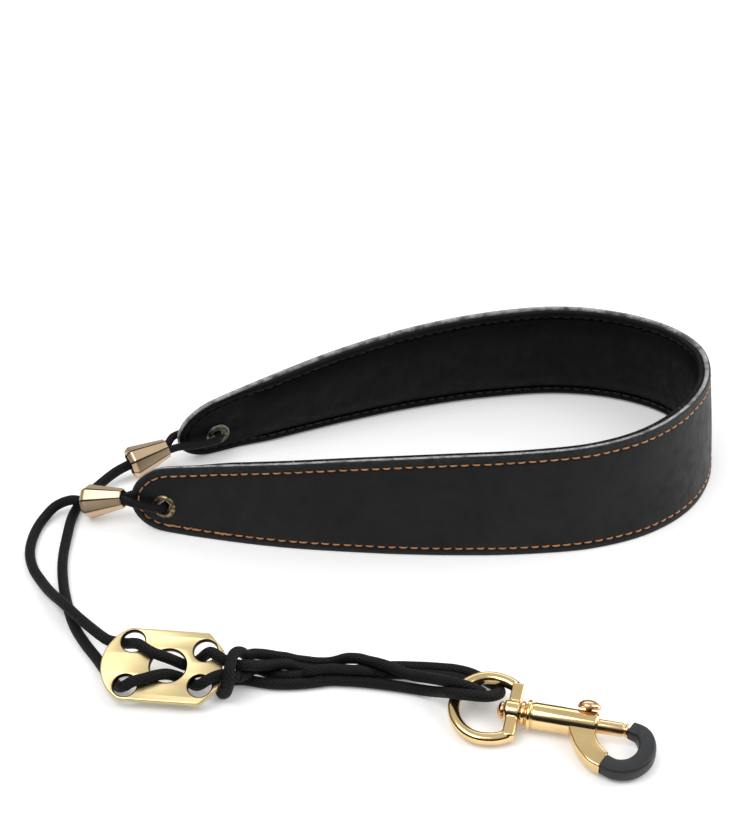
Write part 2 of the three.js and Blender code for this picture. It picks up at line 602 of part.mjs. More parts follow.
function swivelStud() {
  const { shank, head, headLength, chamfer } = STUD;
  const back = -EYE_BOSS.length - GAP;
  const end = back - headLength;
  const profile = [
    [0, end], [head - chamfer, end], [head, end + chamfer], [head, back], [shank, back], [shank, 0], [0, 0],
  ];
  return mesh('swivel_stud', turned(profile), COPPER_COLOR, 1, 0.2);
}

// ---------------------------------------------------------------- bolt snap

function hookBody() {
  const profile = [[0, GAP]];
  let from = GAP;
  for (const [radius, to] of COLLARS) {
    profile.push([radius, from], [radius, to]);
    from = to;
  }
  profile.push([BARREL_RADIUS, from], [BARREL_RADIUS, BARREL_END - EDGE]);
  profile.push([BARREL_RADIUS - EDGE, BARREL_END], [0, BARREL_END]);
  const barrel = turned(profile, 28);
  const blade = new THREE.Shape([...BLADE_INNER, ...BLADE_OUTER].map(([x, y]) => new THREE.Vector2(x, y)));
  const depth = BLADE_THICK - 2 * BLADE_BEVEL;
  const arm = new THREE.ExtrudeGeometry(blade, { depth, ...bevelled(BLADE_BEVEL) });
  arm.translate(0, 0, -depth / 2);
  const core = tube([[28, -13.4, 0], ...ARM_CENTRE.map(([x, y]) => [x, y, 0])], ARM_CORE, 3, 10);
  const bore = turned([
    [0, BORE_START], [BORE_RADIUS, BORE_START], [BORE_RADIUS, BARREL_END + 1], [0, BARREL_END + 1],
  ]);
  const slotLength = THUMB_TRAVEL + 2 * (THUMB.stem + GAP);
  const slot = new THREE.BoxGeometry(slotLength, BARREL_RADIUS + 1, 2 * (THUMB.stem + GAP));
  slot.translate(THUMB_AT - THUMB_TRAVEL / 2, (BARREL_RADIUS + 1) / 2, 0);
  slot.rotateX(THREE.MathUtils.degToRad(THUMB_ANGLE));
  return mesh('hook_body', cut(join(barrel, arm, core), bore, slot), GOLD_COLOR, 1, 0.15);
}

function rubberSleeve() {
  const ring = new THREE.Shape();
  ring.absarc(0, 0, SLEEVE_RADIUS, 0, 2 * Math.PI, false);
  const hollow = new THREE.Path();
  hollow.absarc(0, 0, ARM_CORE + GAP, 0, 2 * Math.PI, true);
  ring.holes.push(hollow);
  const centres = ARM_CENTRE.map(([x, y]) => new THREE.Vector3(x, y, 0));
  const curve = new THREE.CatmullRomCurve3(centres, false, 'centripetal');
  const start = SLEEVE_START / curve.getLength();
  const points = [];
  for (let i = 0; i <= 16; i += 1) points.push(curve.getPointAt(start + ((1 - 2 * start) * i) / 16));
  const path = new THREE.CatmullRomCurve3(points, false, 'centripetal');
  const options = { steps: 16, bevelEnabled: false, extrudePath: path, curveSegments: 5 };
  const sleeve = new THREE.ExtrudeGeometry(ring, options);
  return mesh('rubber_sleeve', sleeve, RUBBER_COLOR, 0, 0.6);
}

function plunger() {
  const { radius, tail, groove, ring, tip } = PLUNGER;
  const waist = tip - ring - groove;
  const profile = [
    [0, tail], [radius, tail], [radius, waist - groove], [radius - groove, waist], [radius, tip - ring],
    [radius, tip], [0, tip],
  ];
  return mesh('plunger', turned(profile), GOLD_COLOR, 1, 0.2);
}

function thumbKnob() {
  const { stem, foot, base, rim, radius, top } = THUMB;
  const edge = base + rim;
  const profile = [[0, foot], [stem, foot], [stem, base], [radius - rim, base], [radius, edge]];
  for (let i = 1; i <= 4; i += 1) {
    const angle = (Math.PI / 8) * i;
    profile.push([radius * Math.cos(angle), edge + (top - edge) * Math.sin(angle)]);
  }
  const knob = lathe(profile, 20);
  knob.rotateX(THREE.MathUtils.degToRad(THUMB_ANGLE) - Math.PI / 2);
  knob.translate(THUMB_AT, 0, 0);
  return mesh('thumb_knob', knob, COPPER_COLOR, 1, 0.2);
}

function plungerSpring() {
  const { radius, wire, from, to, turns, perTurn, step } = SPRING;
  const points = turns * perTurn;
  const route = [];
  for (let i = 0; i <= points; i += 1) {
    const angle = (2 * Math.PI * i) / perTurn;
    const along = from + ((to - from) * i) / points;
    route.push([along, radius * Math.cos(angle), radius * Math.sin(angle)]);
  }
  return mesh('plunger_spring', tube(route, wire, step, 5), STEEL_COLOR, 1, 0.3);
}

function boltSnap() {
  const eye = groupAt(placed(HOOK_ORIGIN, HOOK_YAW, EYE_ROLL), dEye());
  const hook = groupAt(
    placed(HOOK_ORIGIN, HOOK_YAW, HOOK_ROLL),
    swivelStud(), hookBody(), rubberSleeve(), plunger(), thumbKnob(), plungerSpring(),
  );
  return [eye, hook];
}

// ---------------------------------------------------------------- assembly

const strap = new THREE.Group();
strap.add(outerLeather(), foamPad(), lining(), edgeStitching());
for (const side of ['front', 'back']) {
  strap.add(eyelet(side), washer(side), bellCap(side), knot(side), eyeletLoop(side));
}
strap.add(...leads(), adjuster(), ...runs(), ...eyeTurns(), ...boltSnap());
strap.position.set(...RECENTRE);

export default strap;
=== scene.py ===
import json
import math
import random

import bmesh
import bpy
import numpy as np
from mathutils import Matrix, Vector
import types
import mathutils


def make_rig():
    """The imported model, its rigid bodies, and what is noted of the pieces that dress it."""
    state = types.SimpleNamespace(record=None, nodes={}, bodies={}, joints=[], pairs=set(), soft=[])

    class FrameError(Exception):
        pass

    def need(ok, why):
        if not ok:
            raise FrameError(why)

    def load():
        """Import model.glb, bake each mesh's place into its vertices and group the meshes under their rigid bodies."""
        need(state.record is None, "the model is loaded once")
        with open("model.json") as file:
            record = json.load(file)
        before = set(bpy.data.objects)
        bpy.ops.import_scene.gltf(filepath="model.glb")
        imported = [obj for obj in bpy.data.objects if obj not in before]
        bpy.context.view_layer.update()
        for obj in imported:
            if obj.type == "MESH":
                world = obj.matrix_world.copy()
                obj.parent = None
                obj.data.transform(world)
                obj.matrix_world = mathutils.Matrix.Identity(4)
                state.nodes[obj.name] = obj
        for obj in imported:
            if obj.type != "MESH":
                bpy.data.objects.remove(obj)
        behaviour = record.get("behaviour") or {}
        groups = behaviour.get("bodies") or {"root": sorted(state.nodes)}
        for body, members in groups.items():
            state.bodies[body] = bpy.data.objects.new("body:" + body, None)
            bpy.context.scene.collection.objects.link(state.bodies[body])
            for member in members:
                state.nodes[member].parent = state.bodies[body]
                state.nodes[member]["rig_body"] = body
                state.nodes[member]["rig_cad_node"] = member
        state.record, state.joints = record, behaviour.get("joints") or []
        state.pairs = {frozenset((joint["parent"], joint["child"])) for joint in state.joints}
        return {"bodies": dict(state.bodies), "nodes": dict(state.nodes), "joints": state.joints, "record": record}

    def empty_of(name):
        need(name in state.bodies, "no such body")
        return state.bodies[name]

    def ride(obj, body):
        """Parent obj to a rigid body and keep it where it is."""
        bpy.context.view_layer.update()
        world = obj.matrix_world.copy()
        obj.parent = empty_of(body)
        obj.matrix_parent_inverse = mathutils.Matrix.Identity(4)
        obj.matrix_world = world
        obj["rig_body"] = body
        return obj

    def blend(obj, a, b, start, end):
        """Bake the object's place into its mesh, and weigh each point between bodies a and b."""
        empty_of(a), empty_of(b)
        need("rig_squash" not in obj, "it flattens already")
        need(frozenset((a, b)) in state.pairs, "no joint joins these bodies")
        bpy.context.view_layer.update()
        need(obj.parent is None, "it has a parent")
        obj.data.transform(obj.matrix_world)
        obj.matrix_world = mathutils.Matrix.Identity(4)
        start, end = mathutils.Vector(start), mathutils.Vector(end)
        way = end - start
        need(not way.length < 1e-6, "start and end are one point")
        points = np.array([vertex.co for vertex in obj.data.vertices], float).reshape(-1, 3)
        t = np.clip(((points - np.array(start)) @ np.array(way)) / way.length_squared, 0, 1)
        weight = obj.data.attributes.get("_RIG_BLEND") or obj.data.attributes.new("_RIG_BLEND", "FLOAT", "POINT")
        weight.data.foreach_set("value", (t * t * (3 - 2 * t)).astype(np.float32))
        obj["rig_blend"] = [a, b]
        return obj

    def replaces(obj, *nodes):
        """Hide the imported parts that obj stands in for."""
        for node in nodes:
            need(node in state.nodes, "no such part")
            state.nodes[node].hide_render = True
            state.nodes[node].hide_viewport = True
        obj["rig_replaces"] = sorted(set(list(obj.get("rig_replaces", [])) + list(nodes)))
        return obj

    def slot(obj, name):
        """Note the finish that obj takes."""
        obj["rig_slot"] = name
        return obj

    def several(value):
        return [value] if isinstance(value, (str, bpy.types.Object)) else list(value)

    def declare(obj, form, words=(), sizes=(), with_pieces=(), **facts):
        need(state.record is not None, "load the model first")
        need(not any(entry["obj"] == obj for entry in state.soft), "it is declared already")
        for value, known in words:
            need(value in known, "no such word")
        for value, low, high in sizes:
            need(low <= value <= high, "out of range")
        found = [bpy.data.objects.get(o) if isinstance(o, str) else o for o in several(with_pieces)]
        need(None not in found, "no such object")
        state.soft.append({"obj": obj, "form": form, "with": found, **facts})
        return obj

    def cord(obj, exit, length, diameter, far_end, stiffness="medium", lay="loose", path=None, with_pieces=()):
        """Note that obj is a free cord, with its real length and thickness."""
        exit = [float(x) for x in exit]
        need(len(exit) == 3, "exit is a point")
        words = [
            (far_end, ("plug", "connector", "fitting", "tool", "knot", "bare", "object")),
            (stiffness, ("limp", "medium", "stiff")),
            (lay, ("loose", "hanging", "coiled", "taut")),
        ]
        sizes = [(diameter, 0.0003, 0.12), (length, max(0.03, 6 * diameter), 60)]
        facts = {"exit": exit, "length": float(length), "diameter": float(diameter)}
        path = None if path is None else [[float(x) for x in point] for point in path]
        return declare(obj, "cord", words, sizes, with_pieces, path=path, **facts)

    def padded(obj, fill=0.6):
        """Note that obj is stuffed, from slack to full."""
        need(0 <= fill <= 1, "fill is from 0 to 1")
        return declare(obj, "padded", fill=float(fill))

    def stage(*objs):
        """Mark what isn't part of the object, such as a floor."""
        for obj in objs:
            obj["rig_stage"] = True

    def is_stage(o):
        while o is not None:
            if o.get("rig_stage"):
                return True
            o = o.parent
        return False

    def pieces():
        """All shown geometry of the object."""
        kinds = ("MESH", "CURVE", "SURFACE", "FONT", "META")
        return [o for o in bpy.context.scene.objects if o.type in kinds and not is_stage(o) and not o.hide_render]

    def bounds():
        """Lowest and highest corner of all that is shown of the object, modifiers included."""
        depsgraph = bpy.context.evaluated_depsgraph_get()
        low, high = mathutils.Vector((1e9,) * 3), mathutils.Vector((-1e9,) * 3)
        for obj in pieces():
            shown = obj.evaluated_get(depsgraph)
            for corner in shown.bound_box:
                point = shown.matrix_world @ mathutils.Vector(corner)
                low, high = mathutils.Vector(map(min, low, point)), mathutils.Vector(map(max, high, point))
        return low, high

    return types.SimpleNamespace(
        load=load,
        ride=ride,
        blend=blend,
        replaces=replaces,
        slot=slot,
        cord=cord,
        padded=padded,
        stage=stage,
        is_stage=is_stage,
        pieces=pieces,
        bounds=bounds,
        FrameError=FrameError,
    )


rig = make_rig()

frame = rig.load()
CAD_BOX = [list(corner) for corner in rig.bounds()]

MM = 0.001
SAME_PLACE = 1e-6


def mm(points):
    """Points given in millimetres, in metres."""
    return [tuple(c * MM for c in point) for point in points]


# ---------------------------------------------------------------- dimensions, in metres except inside mm()

# Neck band: x, y and the inward lean of the wall over its full height.
BAND_PLAN = mm([
    (-109.6, 20.65, 8), (-81.6, 12.75, 5.5), (-49.6, 6.25, 3.6), (-17.6, 2.75, 3), (14.4, 1.05, 3),
    (46.4, 1.75, 3), (74.4, 5.85, 4), (98.4, 16.25, 5.7), (117.4, 34.55, 6.4), (128, 60.05, 4.9),
    (128, 86.05, 4.9), (116.4, 106.05, 6.2), (95.4, 118.55, 6), (68.4, 123.25, 5), (36.4, 119.65, 5),
    (4.4, 111.35, 5.3), (-27.6, 99.35, 5.8), (-59.6, 84.85, 6.5), (-95.6, 67.85, 7),
])
BAND_HEIGHT = 0.0455
TIP_HEIGHT = 0.024
TAPER_LENGTH = 0.185
TAPER_POWER = 2.3
NOSE_LENGTH = 0.016
NOSE_POWER = 2.2
NOSE_CENTRE = 0.012
PAD_START = 0.034
PAD_BLEND = 0.018
BAND_COLUMNS = 560
END_COLUMNS = 14
SEAM_INSET = 0.0034
STITCH_PITCH = 0.0043
STITCH_SHARE = 0.78                 # of the pitch that one stitch takes
STITCH_SIDES = 8
STITCH_RINGS = 9
SEAM_STEP = 0.0002
# Where the row was finished off, as distances along it back from the band's front tip
OVER_STITCHES = [
    0.0125, 0.0135, 0.0145, 0.0155, 0.0205, 0.0215, 0.0225, 0.0235, 0.0245, 0.0335, 0.0345, 0.0355, 0.0365,
    0.0375,
]

# Rows of the outer leather from its back edge round to the face: inset from the outline, and depth.
LEATHER_EDGE = mm([
    (0.6, 2.3), (0.2, 2.1), (0, 1.7), (0, 1.2), (0.05, 0.7), (0.2, 0.3), (0.5, 0.08), (1, 0), (1.8, 0),
    (2.6, 0.06), (3.1, 0.2), (3.4, 0.3), (3.7, 0.2), (4.2, 0.06), (5.2, 0),
])
LEATHER_RAW_ROWS = 5                # how many rows of faces on each side show the cut edge
LEATHER_CROWN = 0.0002
FIBRES = 2600
FIBRES_ON_TOP = 0.72                # the share of them on the upper edge

# Rows of the lining from its front edge round to the inner face: inset, and depth at full padding.
LINING_EDGE = mm([
    (1.1, 2.3), (0.6, 2.5), (0.5, 2.9), (0.7, 3.2), (1.2, 3.4), (2, 3.5), (2.7, 3.4), (3.1, 3.1),
    (3.4, 2.8), (3.7, 3.1), (4.2, 3.6), (5.2, 4.4), (6.8, 5.3), (9, 6), (11.6, 6.4),
])
LINING_DEPTH = 0.0035               # of the inner face where there is no padding
LINING_CREASE_ROW = 8
LINING_SWELL = 0.0016               # how much thicker its margin is where there is padding

EYELET_AT = {"front": 0.0145, "back": 0.017}
EYELET_HEIGHT = 0.0114
EYELET_HOLE = 0.0033
SEWN = 0.0035                       # thickness of leather and lining where there is no padding
EYELET_PROFILE = mm([
    (2.7, -4.7), (2.7, 0.4), (2.9, 0.9), (3.4, 1.2), (4.1, 1.1), (4.7, 0.7), (5, 0.1), (4.9, -0.05),
    (3.4, -0.05), (3.2, -0.4), (3.2, -4.1), (4.3, -4.1), (4.5, -4.5), (3.8, -5), (2.7, -4.7),
])
WASHER_PROFILE = mm([
    (3.4, -3.4), (5, -3.4), (5.2, -3.7), (5, -4.1), (4.4, -4.2), (3.4, -4), (3.4, -3.4),
])

CAPS = {
    "front": mm([(-111.8, 24.05, 11.2), (-127.6, 27.65, 6.9)]),
    "back": mm([(-98.2, 61.05, 10.4), (-113.8, 53.35, 6.9)]),
}
CAP_FACETS = 8
CAP_TURN = -0.14                    # turns the facets about the cap's axis
CAP_PROFILE = mm([
    (3.1, 0.3), (3.4, 0), (3.8, 0.2), (6.6, 14.4), (6.65, 15.2), (5.6, 17), (5.1, 17.2), (4.9, 16.9),
    (5.3, 14.8), (3.1, 1.6), (3.1, 0.3),
])
KNOT_PROFILE = mm([
    (0, 0.2), (2.4, 0.2), (2.8, 3), (3.8, 7.8), (3.9, 10), (2.8, 12), (0, 12.4),
])

CORD_RADIUS = 0.002
LOOP_RADIUS = 0.0016
LOOP_SPREAD = 0.0017                # of the two strands where they leave the cap
LOOP_PAST = 0.0007                  # how far the loop stands off the band's tip
LOOP_LIFT = 0.0002                  # and off its faces
LOOP_MOUTH = 0.0003                 # where the strands begin, outside the cap's narrow mouth
WASHER_DEPTH = 0.0008               # what the washer adds on the band's inner side
LOOP_SIDE = mm([(10.5, 2.6), (6.4, 2.9), (3.6, 3.1), (1.4, 2.8), (0.2, 1.1)])

# Routes of the cord, as in the solids.
LEAD_FRONT = mm([
    (-124.8, 26.85, 7.7), (-128.6, 27.95, 6.8), (-134, 29.45, 6.4), (-140, 28.25, 4.4),
    (-144.2, 22.65, 2.4), (-146.4, 13.65, 2), (-146.4, 1.05, 2), (-143.5, -9.25, 2),
    (-138.8, -17.95, 2.3), (-133.6, -27.15, 4.2), (-127.4, -36.15, 6.3), (-121.4, -43.55, 6.4),
    (-115.8, -49.95, 6.6), (-111, -55.35, 7), (-108.4, -58.15, 7.5),
])
LEAD_BACK = mm([
    (-110.4, 55.05, 7.7), (-114, 53.25, 6.8), (-119, 50.15, 5.4), (-125.4, 43.95, 3), (-130.4, 35.65, 2),
    (-133, 25.55, 2), (-133.4, 11.05, 2), (-132.8, -4.95, 2), (-130.6, -18.35, 2), (-127.6, -29.95, 2),
    (-123.2, -42.95, 2), (-118, -52.95, 2), (-112.2, -61.95, 2), (-107.8, -69.75, 2.2),
])
LEAD_SPLIT = 6
RUNS = {
    "far_top": mm([
        (-59, -70.25, 11.9), (-57.9, -68.85, 9.6), (-55.2, -66.65, 8.2), (-52.5, -65.65, 7.2),
        (-49.7, -65.05, 6.2), (-46.9, -64.65, 5.2), (-44.1, -63.75, 4), (-40.5, -63.35, 2.5),
        (-37, -63.55, 2.1), (-33.3, -64.25, 2.1), (-28.3, -64.15, 2.1), (-25.5, -64.25, 3),
        (-22.9, -64.65, 4.3), (-20.4, -66.05, 5.7), (-17.5, -67.35, 6.5), (-14.7, -68.35, 6.4),
        (-11.1, -69.55, 6.4), (-7.6, -70.95, 6.2), (-4.8, -72.45, 6), (-2, -74.15, 5.9),
        (1.5, -75.85, 6.1), (5, -77.45, 6.8), (9.1, -80.35, 8.4),
    ]),
    "far_low": mm([
        (-59.8, -75.35, 10.5), (-57.8, -75.45, 10.6), (-54.7, -74.45, 9.6), (-52.1, -72.75, 8.1),
        (-49.4, -70.65, 6.5), (-46.6, -69.45, 5.8), (-43.9, -68.25, 4.8), (-42.1, -67.55, 3.7),
        (-40, -67.35, 2.6), (-36.8, -67.65, 2.1), (-33.2, -68.25, 2.1), (-28.2, -68.25, 2.1),
        (-22.9, -68.45, 2.1), (-20.4, -68.55, 2.1), (-17.5, -68.15, 2.1), (-14, -67.55, 2.1),
        (-10.4, -66.85, 2.1), (-7.2, -66.45, 2.1), (-2.6, -66.35, 2.1), (1.7, -66.55, 2.1),
        (6.7, -66.85, 2.1), (11.4, -67.35, 2.1),
    ]),
    "near_top": mm([
        (-60.4, -78.65, 8.2), (-59.6, -77.35, 7), (-57.6, -75.35, 6.3), (-56.4, -73.15, 5.8),
        (-55.1, -71.05, 4.9), (-53.1, -69.75, 3.6), (-51, -69.75, 2.6), (-48.8, -70.15, 2.1),
        (-46, -71.15, 2.1), (-43.1, -71.45, 2.1), (-40.3, -71.55, 2.1), (-37.4, -71.45, 2.5),
        (-35.9, -71.95, 3.9), (-34.5, -72.15, 4.8), (-32.4, -71.95, 5.1), (-28.2, -71.15, 5),
        (-22.8, -71.55, 5), (-20.3, -71.75, 5), (-17.5, -71.75, 4.9), (-14.3, -71.95, 4.1),
        (-11.1, -71.15, 2.3), (-6.2, -70.35, 2.1), (-1.9, -70.35, 2.1), (2.4, -70.65, 2.1),
        (6.6, -71.05, 2.1), (11.2, -71.55, 2.1),
    ]),
    "near_low": mm([
        (-58.7, -73.45, 2.1), (-56.4, -73.95, 2.1), (-52.8, -74.85, 2.1), (-48.6, -75.65, 2.1),
        (-42.2, -75.85, 2.1), (-36.6, -75.35, 2.1), (-33.1, -74.75, 2.1), (-28.1, -73.85, 2.1),
        (-22.8, -74.05, 2.1), (-17.5, -74.55, 2.1), (-12.2, -75.35, 2.1), (-6.2, -76.45, 2.1),
        (-2, -77.35, 2.1), (2.2, -78.35, 2.1), (6.4, -80.45, 3.1), (10.4, -84.25, 6),
    ]),
}
EYE_TURNS = {
    "far": mm([
        (10.8, -84.75, 6.4), (13.7, -88.75, 9.6), (17, -90.95, 11), (20.4, -91.95, 11.4),
        (23.5, -91.95, 11), (26.6, -90.85, 9.9), (29.4, -88.15, 8), (31.2, -85.05, 6.2),
        (31.2, -80.75, 4.1), (29.2, -76.45, 2.7), (25.7, -72.95, 2.2), (21.6, -69.95, 2.1),
        (16.3, -68.05, 2.1), (12.1, -67.45, 2.1),
    ]),
    "near": mm([
        (9.6, -80.75, 8.7), (12.4, -83.45, 10.3), (15.8, -85.75, 11.3), (19.2, -87.25, 11.4),
        (22, -87.45, 10.3), (24.1, -86.85, 8.4), (25, -84.65, 6), (23.7, -80.55, 3.9),
        (21.3, -76.45, 2.6), (18.3, -73.35, 2.1), (14.8, -72.05, 2.1), (11.9, -71.65, 2.1),
    ]),
}

# Adjuster plate, and the cord's route over it in the plate's own frame.
PLATE_CENTRE = (-0.0849, -0.07455, 0.009)
PLATE_YAW = math.radians(-6)
PLATE_TILT = math.radians(22)
PLATE_THICK = 0.002
PLATE_HALF_WIDTH = 0.0141
PLATE_RIGHT = 0.0192
PLATE_LEFT = -0.024
PLATE_ARC_START = -0.0155
PLATE_CHAMFER = (0.0063, 0.0068)
PLATE_ROUND = 0.0005
PLATE_CORNER = 0.0024
HOLE_SHADE_RIM = 0.0005                   # how far the holes' painted shade and painted reflection reach out over the face
PLATE_HOLES = mm([
    (-13.9, 8.7, 4.15), (-13.9, -8.7, 4.15), (0, 0, 6.4), (12.4, 6.9, 4.15), (12.4, -6.9, 4.15),
])
THREAD_FROM = {
    "front": mm([
        (-24.4, 12, -6.4), (-20.4, 10.8, -5), (-17, 9.6, -3), (-13.9, 8.2, 0.2), (-11, 6.5, 2.9),
        (-7, 4.2, 3), (-3, 3, 2.5), (0.2, 2.7, 1.1),
    ]),
    "back": mm([
        (-22.5, -1, -6.9), (-19.8, -4.5, -5.4), (-17, -7.2, -3.6), (-13.9, -8.5, 0.2), (-11, -8, 2.9),
        (-7, -6.6, 3), (-3, -4.9, 2.8), (0.2, -3.5, 1.4),
    ]),
}
THREAD_ON = mm([
    (3, 2.7, -1.3), (5.8, 2.8, -3.3), (8.4, 4, -3.4), (10.5, 5.2, -2.4), (12.5, 5.8, 0.1),
    (14.7, 5.6, 2.6), (17.4, 4.1, 3.1), (20, 2.8, 2.6), (24.1, 2.2, 0.9),
])
HITCH = mm([
    (25.2, 1, -7.9), (22.8, 0.6, -7.7), (20.5, -0.4, -7.1), (19, -2.4, -6.4), (18.8, -4.8, -5.5),
    (19.8, -6.7, -4.2), (21.2, -7.4, -2.2), (22.2, -7, 0.6), (22.8, -5.7, 3.8), (22.8, -2.8, 5.9),
    (22.8, 0.2, 6), (23, 3, 5.5), (23.8, 5.7, 3.7), (25.1, 7.4, 0.7),
])

# Hook frame: X from the eye's bar towards the hook's tip, Y away from the arm.
HOOK_ORIGIN = (0.0375, -0.09455, 0.0056)
HOOK_YAW = math.radians(-13.8)
HOOK_ROLL = math.radians(6)
EYE_ROLL = math.radians(12)
EYE_WIRE = 0.0021
EYE_BOW = mm([
    (-1.4, 9.2), (-3.6, 10.8), (-6, 12), (-8.8, 12.7), (-11.5, 12.9), (-14.4, 12.4), (-17, 11.2),
    (-19.4, 9.2), (-21.3, 6.6), (-22.5, 3.4),
])
EYE_DEPTH = 0.0229
EYE_BAR_AT = -0.0022
EYE_BAR_REACH = 0.0106
EYE_BAR_WIRE = 0.0023
EYE_SKIN = 0.00028                  # voxel size of the skin round the eye's pieces
BOSS_PROFILE = mm([(0, -5.4), (3.4, -5.4), (4, -4.6), (4, -0.1), (0, -0.1)])
STUD_PROFILE = mm([
    (0, -7.9), (1.2, -7.8), (2.4, -7.2), (3.1, -6.4), (3.1, -5.8), (2.9, -5.6), (2, -5.6), (2, 0.1),
    (0, 0.1),
])
BARREL_PROFILE = mm([
    (0, 0.3), (3.8, 0.3), (4.3, 0.6), (4.3, 1.7), (3.6, 2), (3.4, 2.3), (4.5, 2.5), (5.2, 2.8), (5.2, 3.9),
    (4.6, 4.2), (4.4, 4.4), (4.7, 4.8), (4.7, 26.2), (4.2, 27), (3.1, 27.1), (2.85, 26.8), (2.85, 20),
    (0, 20),
])
# The flat arm, from the barrel's end down its inner side, and back along its outer side
ARM_OUTLINE = mm([
    (26.2, -2), (26.6, -3.8), (27.2, -6.2), (28.1, -8.1), (29.3, -9.8), (32.2, -12.6), (31.8, -16),
    (29.9, -19.4), (25.6, -17.2), (22, -13.2), (20.4, -10.9), (19.2, -8.4), (17.8, -5.5), (16.8, -2),
])
ARM_INNER_COUNT = 6                 # how many of them are on the inner side
ARM_THICK = 0.0048
ARM_ROUND = 0.0009
PLUNGER_PROFILE = mm([
    (0, 17.5), (2.5, 17.5), (2.5, 35.5), (2.1, 35.8), (2.1, 36.2), (2.6, 36.5), (2.6, 37.1), (2.2, 37.4),
    (0, 37.5),
])
THUMB_AT = 0.0232
THUMB_ANGLE = math.radians(40)
THUMB_TRAVEL = 0.0075
THUMB_STEM = (0.0012, 0.0028)       # radius, and where it starts
THUMB_BASE = 0.0051
THUMB_RIM = 0.0006
THUMB_TOP = 0.0084
THUMB_RADIUS = 0.0042
SLOT_SIZE = (THUMB_TRAVEL + 2 * 0.0015, 0.006, 0.003)
SLOT_CORNER = 0.0012
SLOT_HEIGHT = 0.0045
SPRING_TURNS = 9
SPRING_START = 0.0062
SPRING_LENGTH = 0.0106
SPRING_RADIUS = 0.0019
SPRING_WIRE = 0.00035
ARM_CENTRE = mm([
    (31, -16.1), (35.2, -17.6), (40.2, -16.3), (43.9, -11.6), (44.4, -6), (42.1, -1.3), (38.3, 0.4),
])
SLEEVE_RADIUS = 0.0029

# Camera and light
CAMERA_AT = (-0.0122, -0.55695, 0.4281)
CAMERA_LOOKS_AT = (-0.0122, 0.10225, 0.0)
CAMERA_SENSOR = 36.0
CAMERA_LENS = 78.17
# The sky's brightness by height
SKY = [(0.0, 0.02), (0.34, 0.03), (0.46, 0.22), (0.62, 0.62), (1.0, 0.7)]
SKY_BEHIND = 0.3                    # how much brighter it is behind the object
LIGHTS = [
    ("key", (-0.5, -0.35, 1.1), (0.9, 0.7), 7.0),
    ("fill", (0.8, -0.2, 0.9), (0.8, 0.8), 3.2),
    ("back", (0.1, 1.0, 0.8), (1.2, 0.5), 3.2),
    ("rim", (1.1, 0.3, 0.35), (0.5, 0.7), 5.0),
]


# ---------------------------------------------------------------- curves

def spline(points, samples):
    """Centripetal Catmull-Rom curve through the points, at that many places evenly spaced along it."""
    p = np.array(points, float)
    p = np.vstack([2 * p[0] - p[1], p, 2 * p[-1] - p[-2]])
    dense = []
    for i in range(1, len(p) - 2):
        dense.append(spline_piece(p[i - 1:i + 3], 40))
    dense.append(p[-2:-1])
    return evenly(np.vstack(dense), samples)


def spline_piece(p, steps):
    knots = [0.0]
    for a, b in zip(p[:-1], p[1:]):
        knots.append(knots[-1] + max(np.linalg.norm(b - a), 1e-9) ** 0.5)
    t = np.linspace(knots[1], knots[2], steps, endpoint=False)[:, None]

    def mix(a, b, from_, to):
        return ((to - t) * a + (t - from_) * b) / (to - from_)

    a = [mix(p[i], p[i + 1], knots[i], knots[i + 1]) for i in range(3)]
    b = [mix(a[i], a[i + 1], knots[i], knots[i + 2]) for i in range(2)]
    return mix(b[0], b[1], knots[1], knots[2])


def arc_lengths(line):
    return np.concatenate([[0], np.cumsum(np.linalg.norm(np.diff(line, axis=0), axis=1))])


def evenly(line, samples):
    s = arc_lengths(line)
    at = np.linspace(0, s[-1], samples)
    return np.stack([np.interp(at, s, line[:, k]) for k in range(line.shape[1])], axis=1)


def smoothstep(x, low, high):
    t = np.clip((x - low) / (high - low), 0, 1)
    return t * t * (3 - 2 * t)


def tangents(line):
    d = np.gradient(line, axis=0)
    return d / np.linalg.norm(d, axis=1)[:, None]


def carried_frames(line):
    """Two directions across the line at each point, carried along it without twist."""
    t = tangents(line)
    side = np.cross(t[0], (0, 0, 1))
    side /= np.linalg.norm(side)
    sides = [side]
    for direction in t[1:]:
        side = side - np.dot(side, direction) * direction
        side /= np.linalg.norm(side)
        sides.append(side)
    sides = np.array(sides)
    return sides, np.cross(t, sides)


# ---------------------------------------------------------------- meshes

def new_object(name, verts, faces, materials, uvs=None, sharp=40):
    """A mesh object in the row frame. uvs holds one pair for each vertex."""
    mesh = bpy.data.meshes.new(name)
    mesh.from_pydata([tuple(map(float, v)) for v in verts], [], [tuple(map(int, f)) for f in faces])
    for material in materials:
        mesh.materials.append(material)
    if uvs is not None:
        layer = mesh.uv_layers.new(name="uv")
        corner_vertex = np.empty(len(mesh.loops), int)
        mesh.loops.foreach_get("vertex_index", corner_vertex)
        layer.data.foreach_set("uv", np.array(uvs, float)[corner_vertex].ravel())
    obj = bpy.data.objects.new(name, mesh)
    bpy.context.collection.objects.link(obj)
    finish_mesh(obj, sharp)
    return obj


def finish_mesh(obj, sharp=40):
    bm = bmesh.new()
    bm.from_mesh(obj.data)
    bmesh.ops.remove_doubles(bm, verts=bm.verts, dist=SAME_PLACE)
    bmesh.ops.recalc_face_normals(bm, faces=bm.faces)
    bm.to_mesh(obj.data)
    bm.free()
    obj.data.shade_smooth()
    obj.data.set_sharp_from_angle(angle=math.radians(sharp))
    obj.data.update()


def grid_faces(rows, columns, wrap_columns=False):
    """Faces of a grid of vertices stored row after row."""
    faces = []
    for r in range(rows - 1):
        for c in range(columns if wrap_columns else columns - 1):
            d = (c + 1) % columns
            faces.append((r * columns + c, r * columns + d, (r + 1) * columns + d, (r + 1) * columns + c))
    return faces


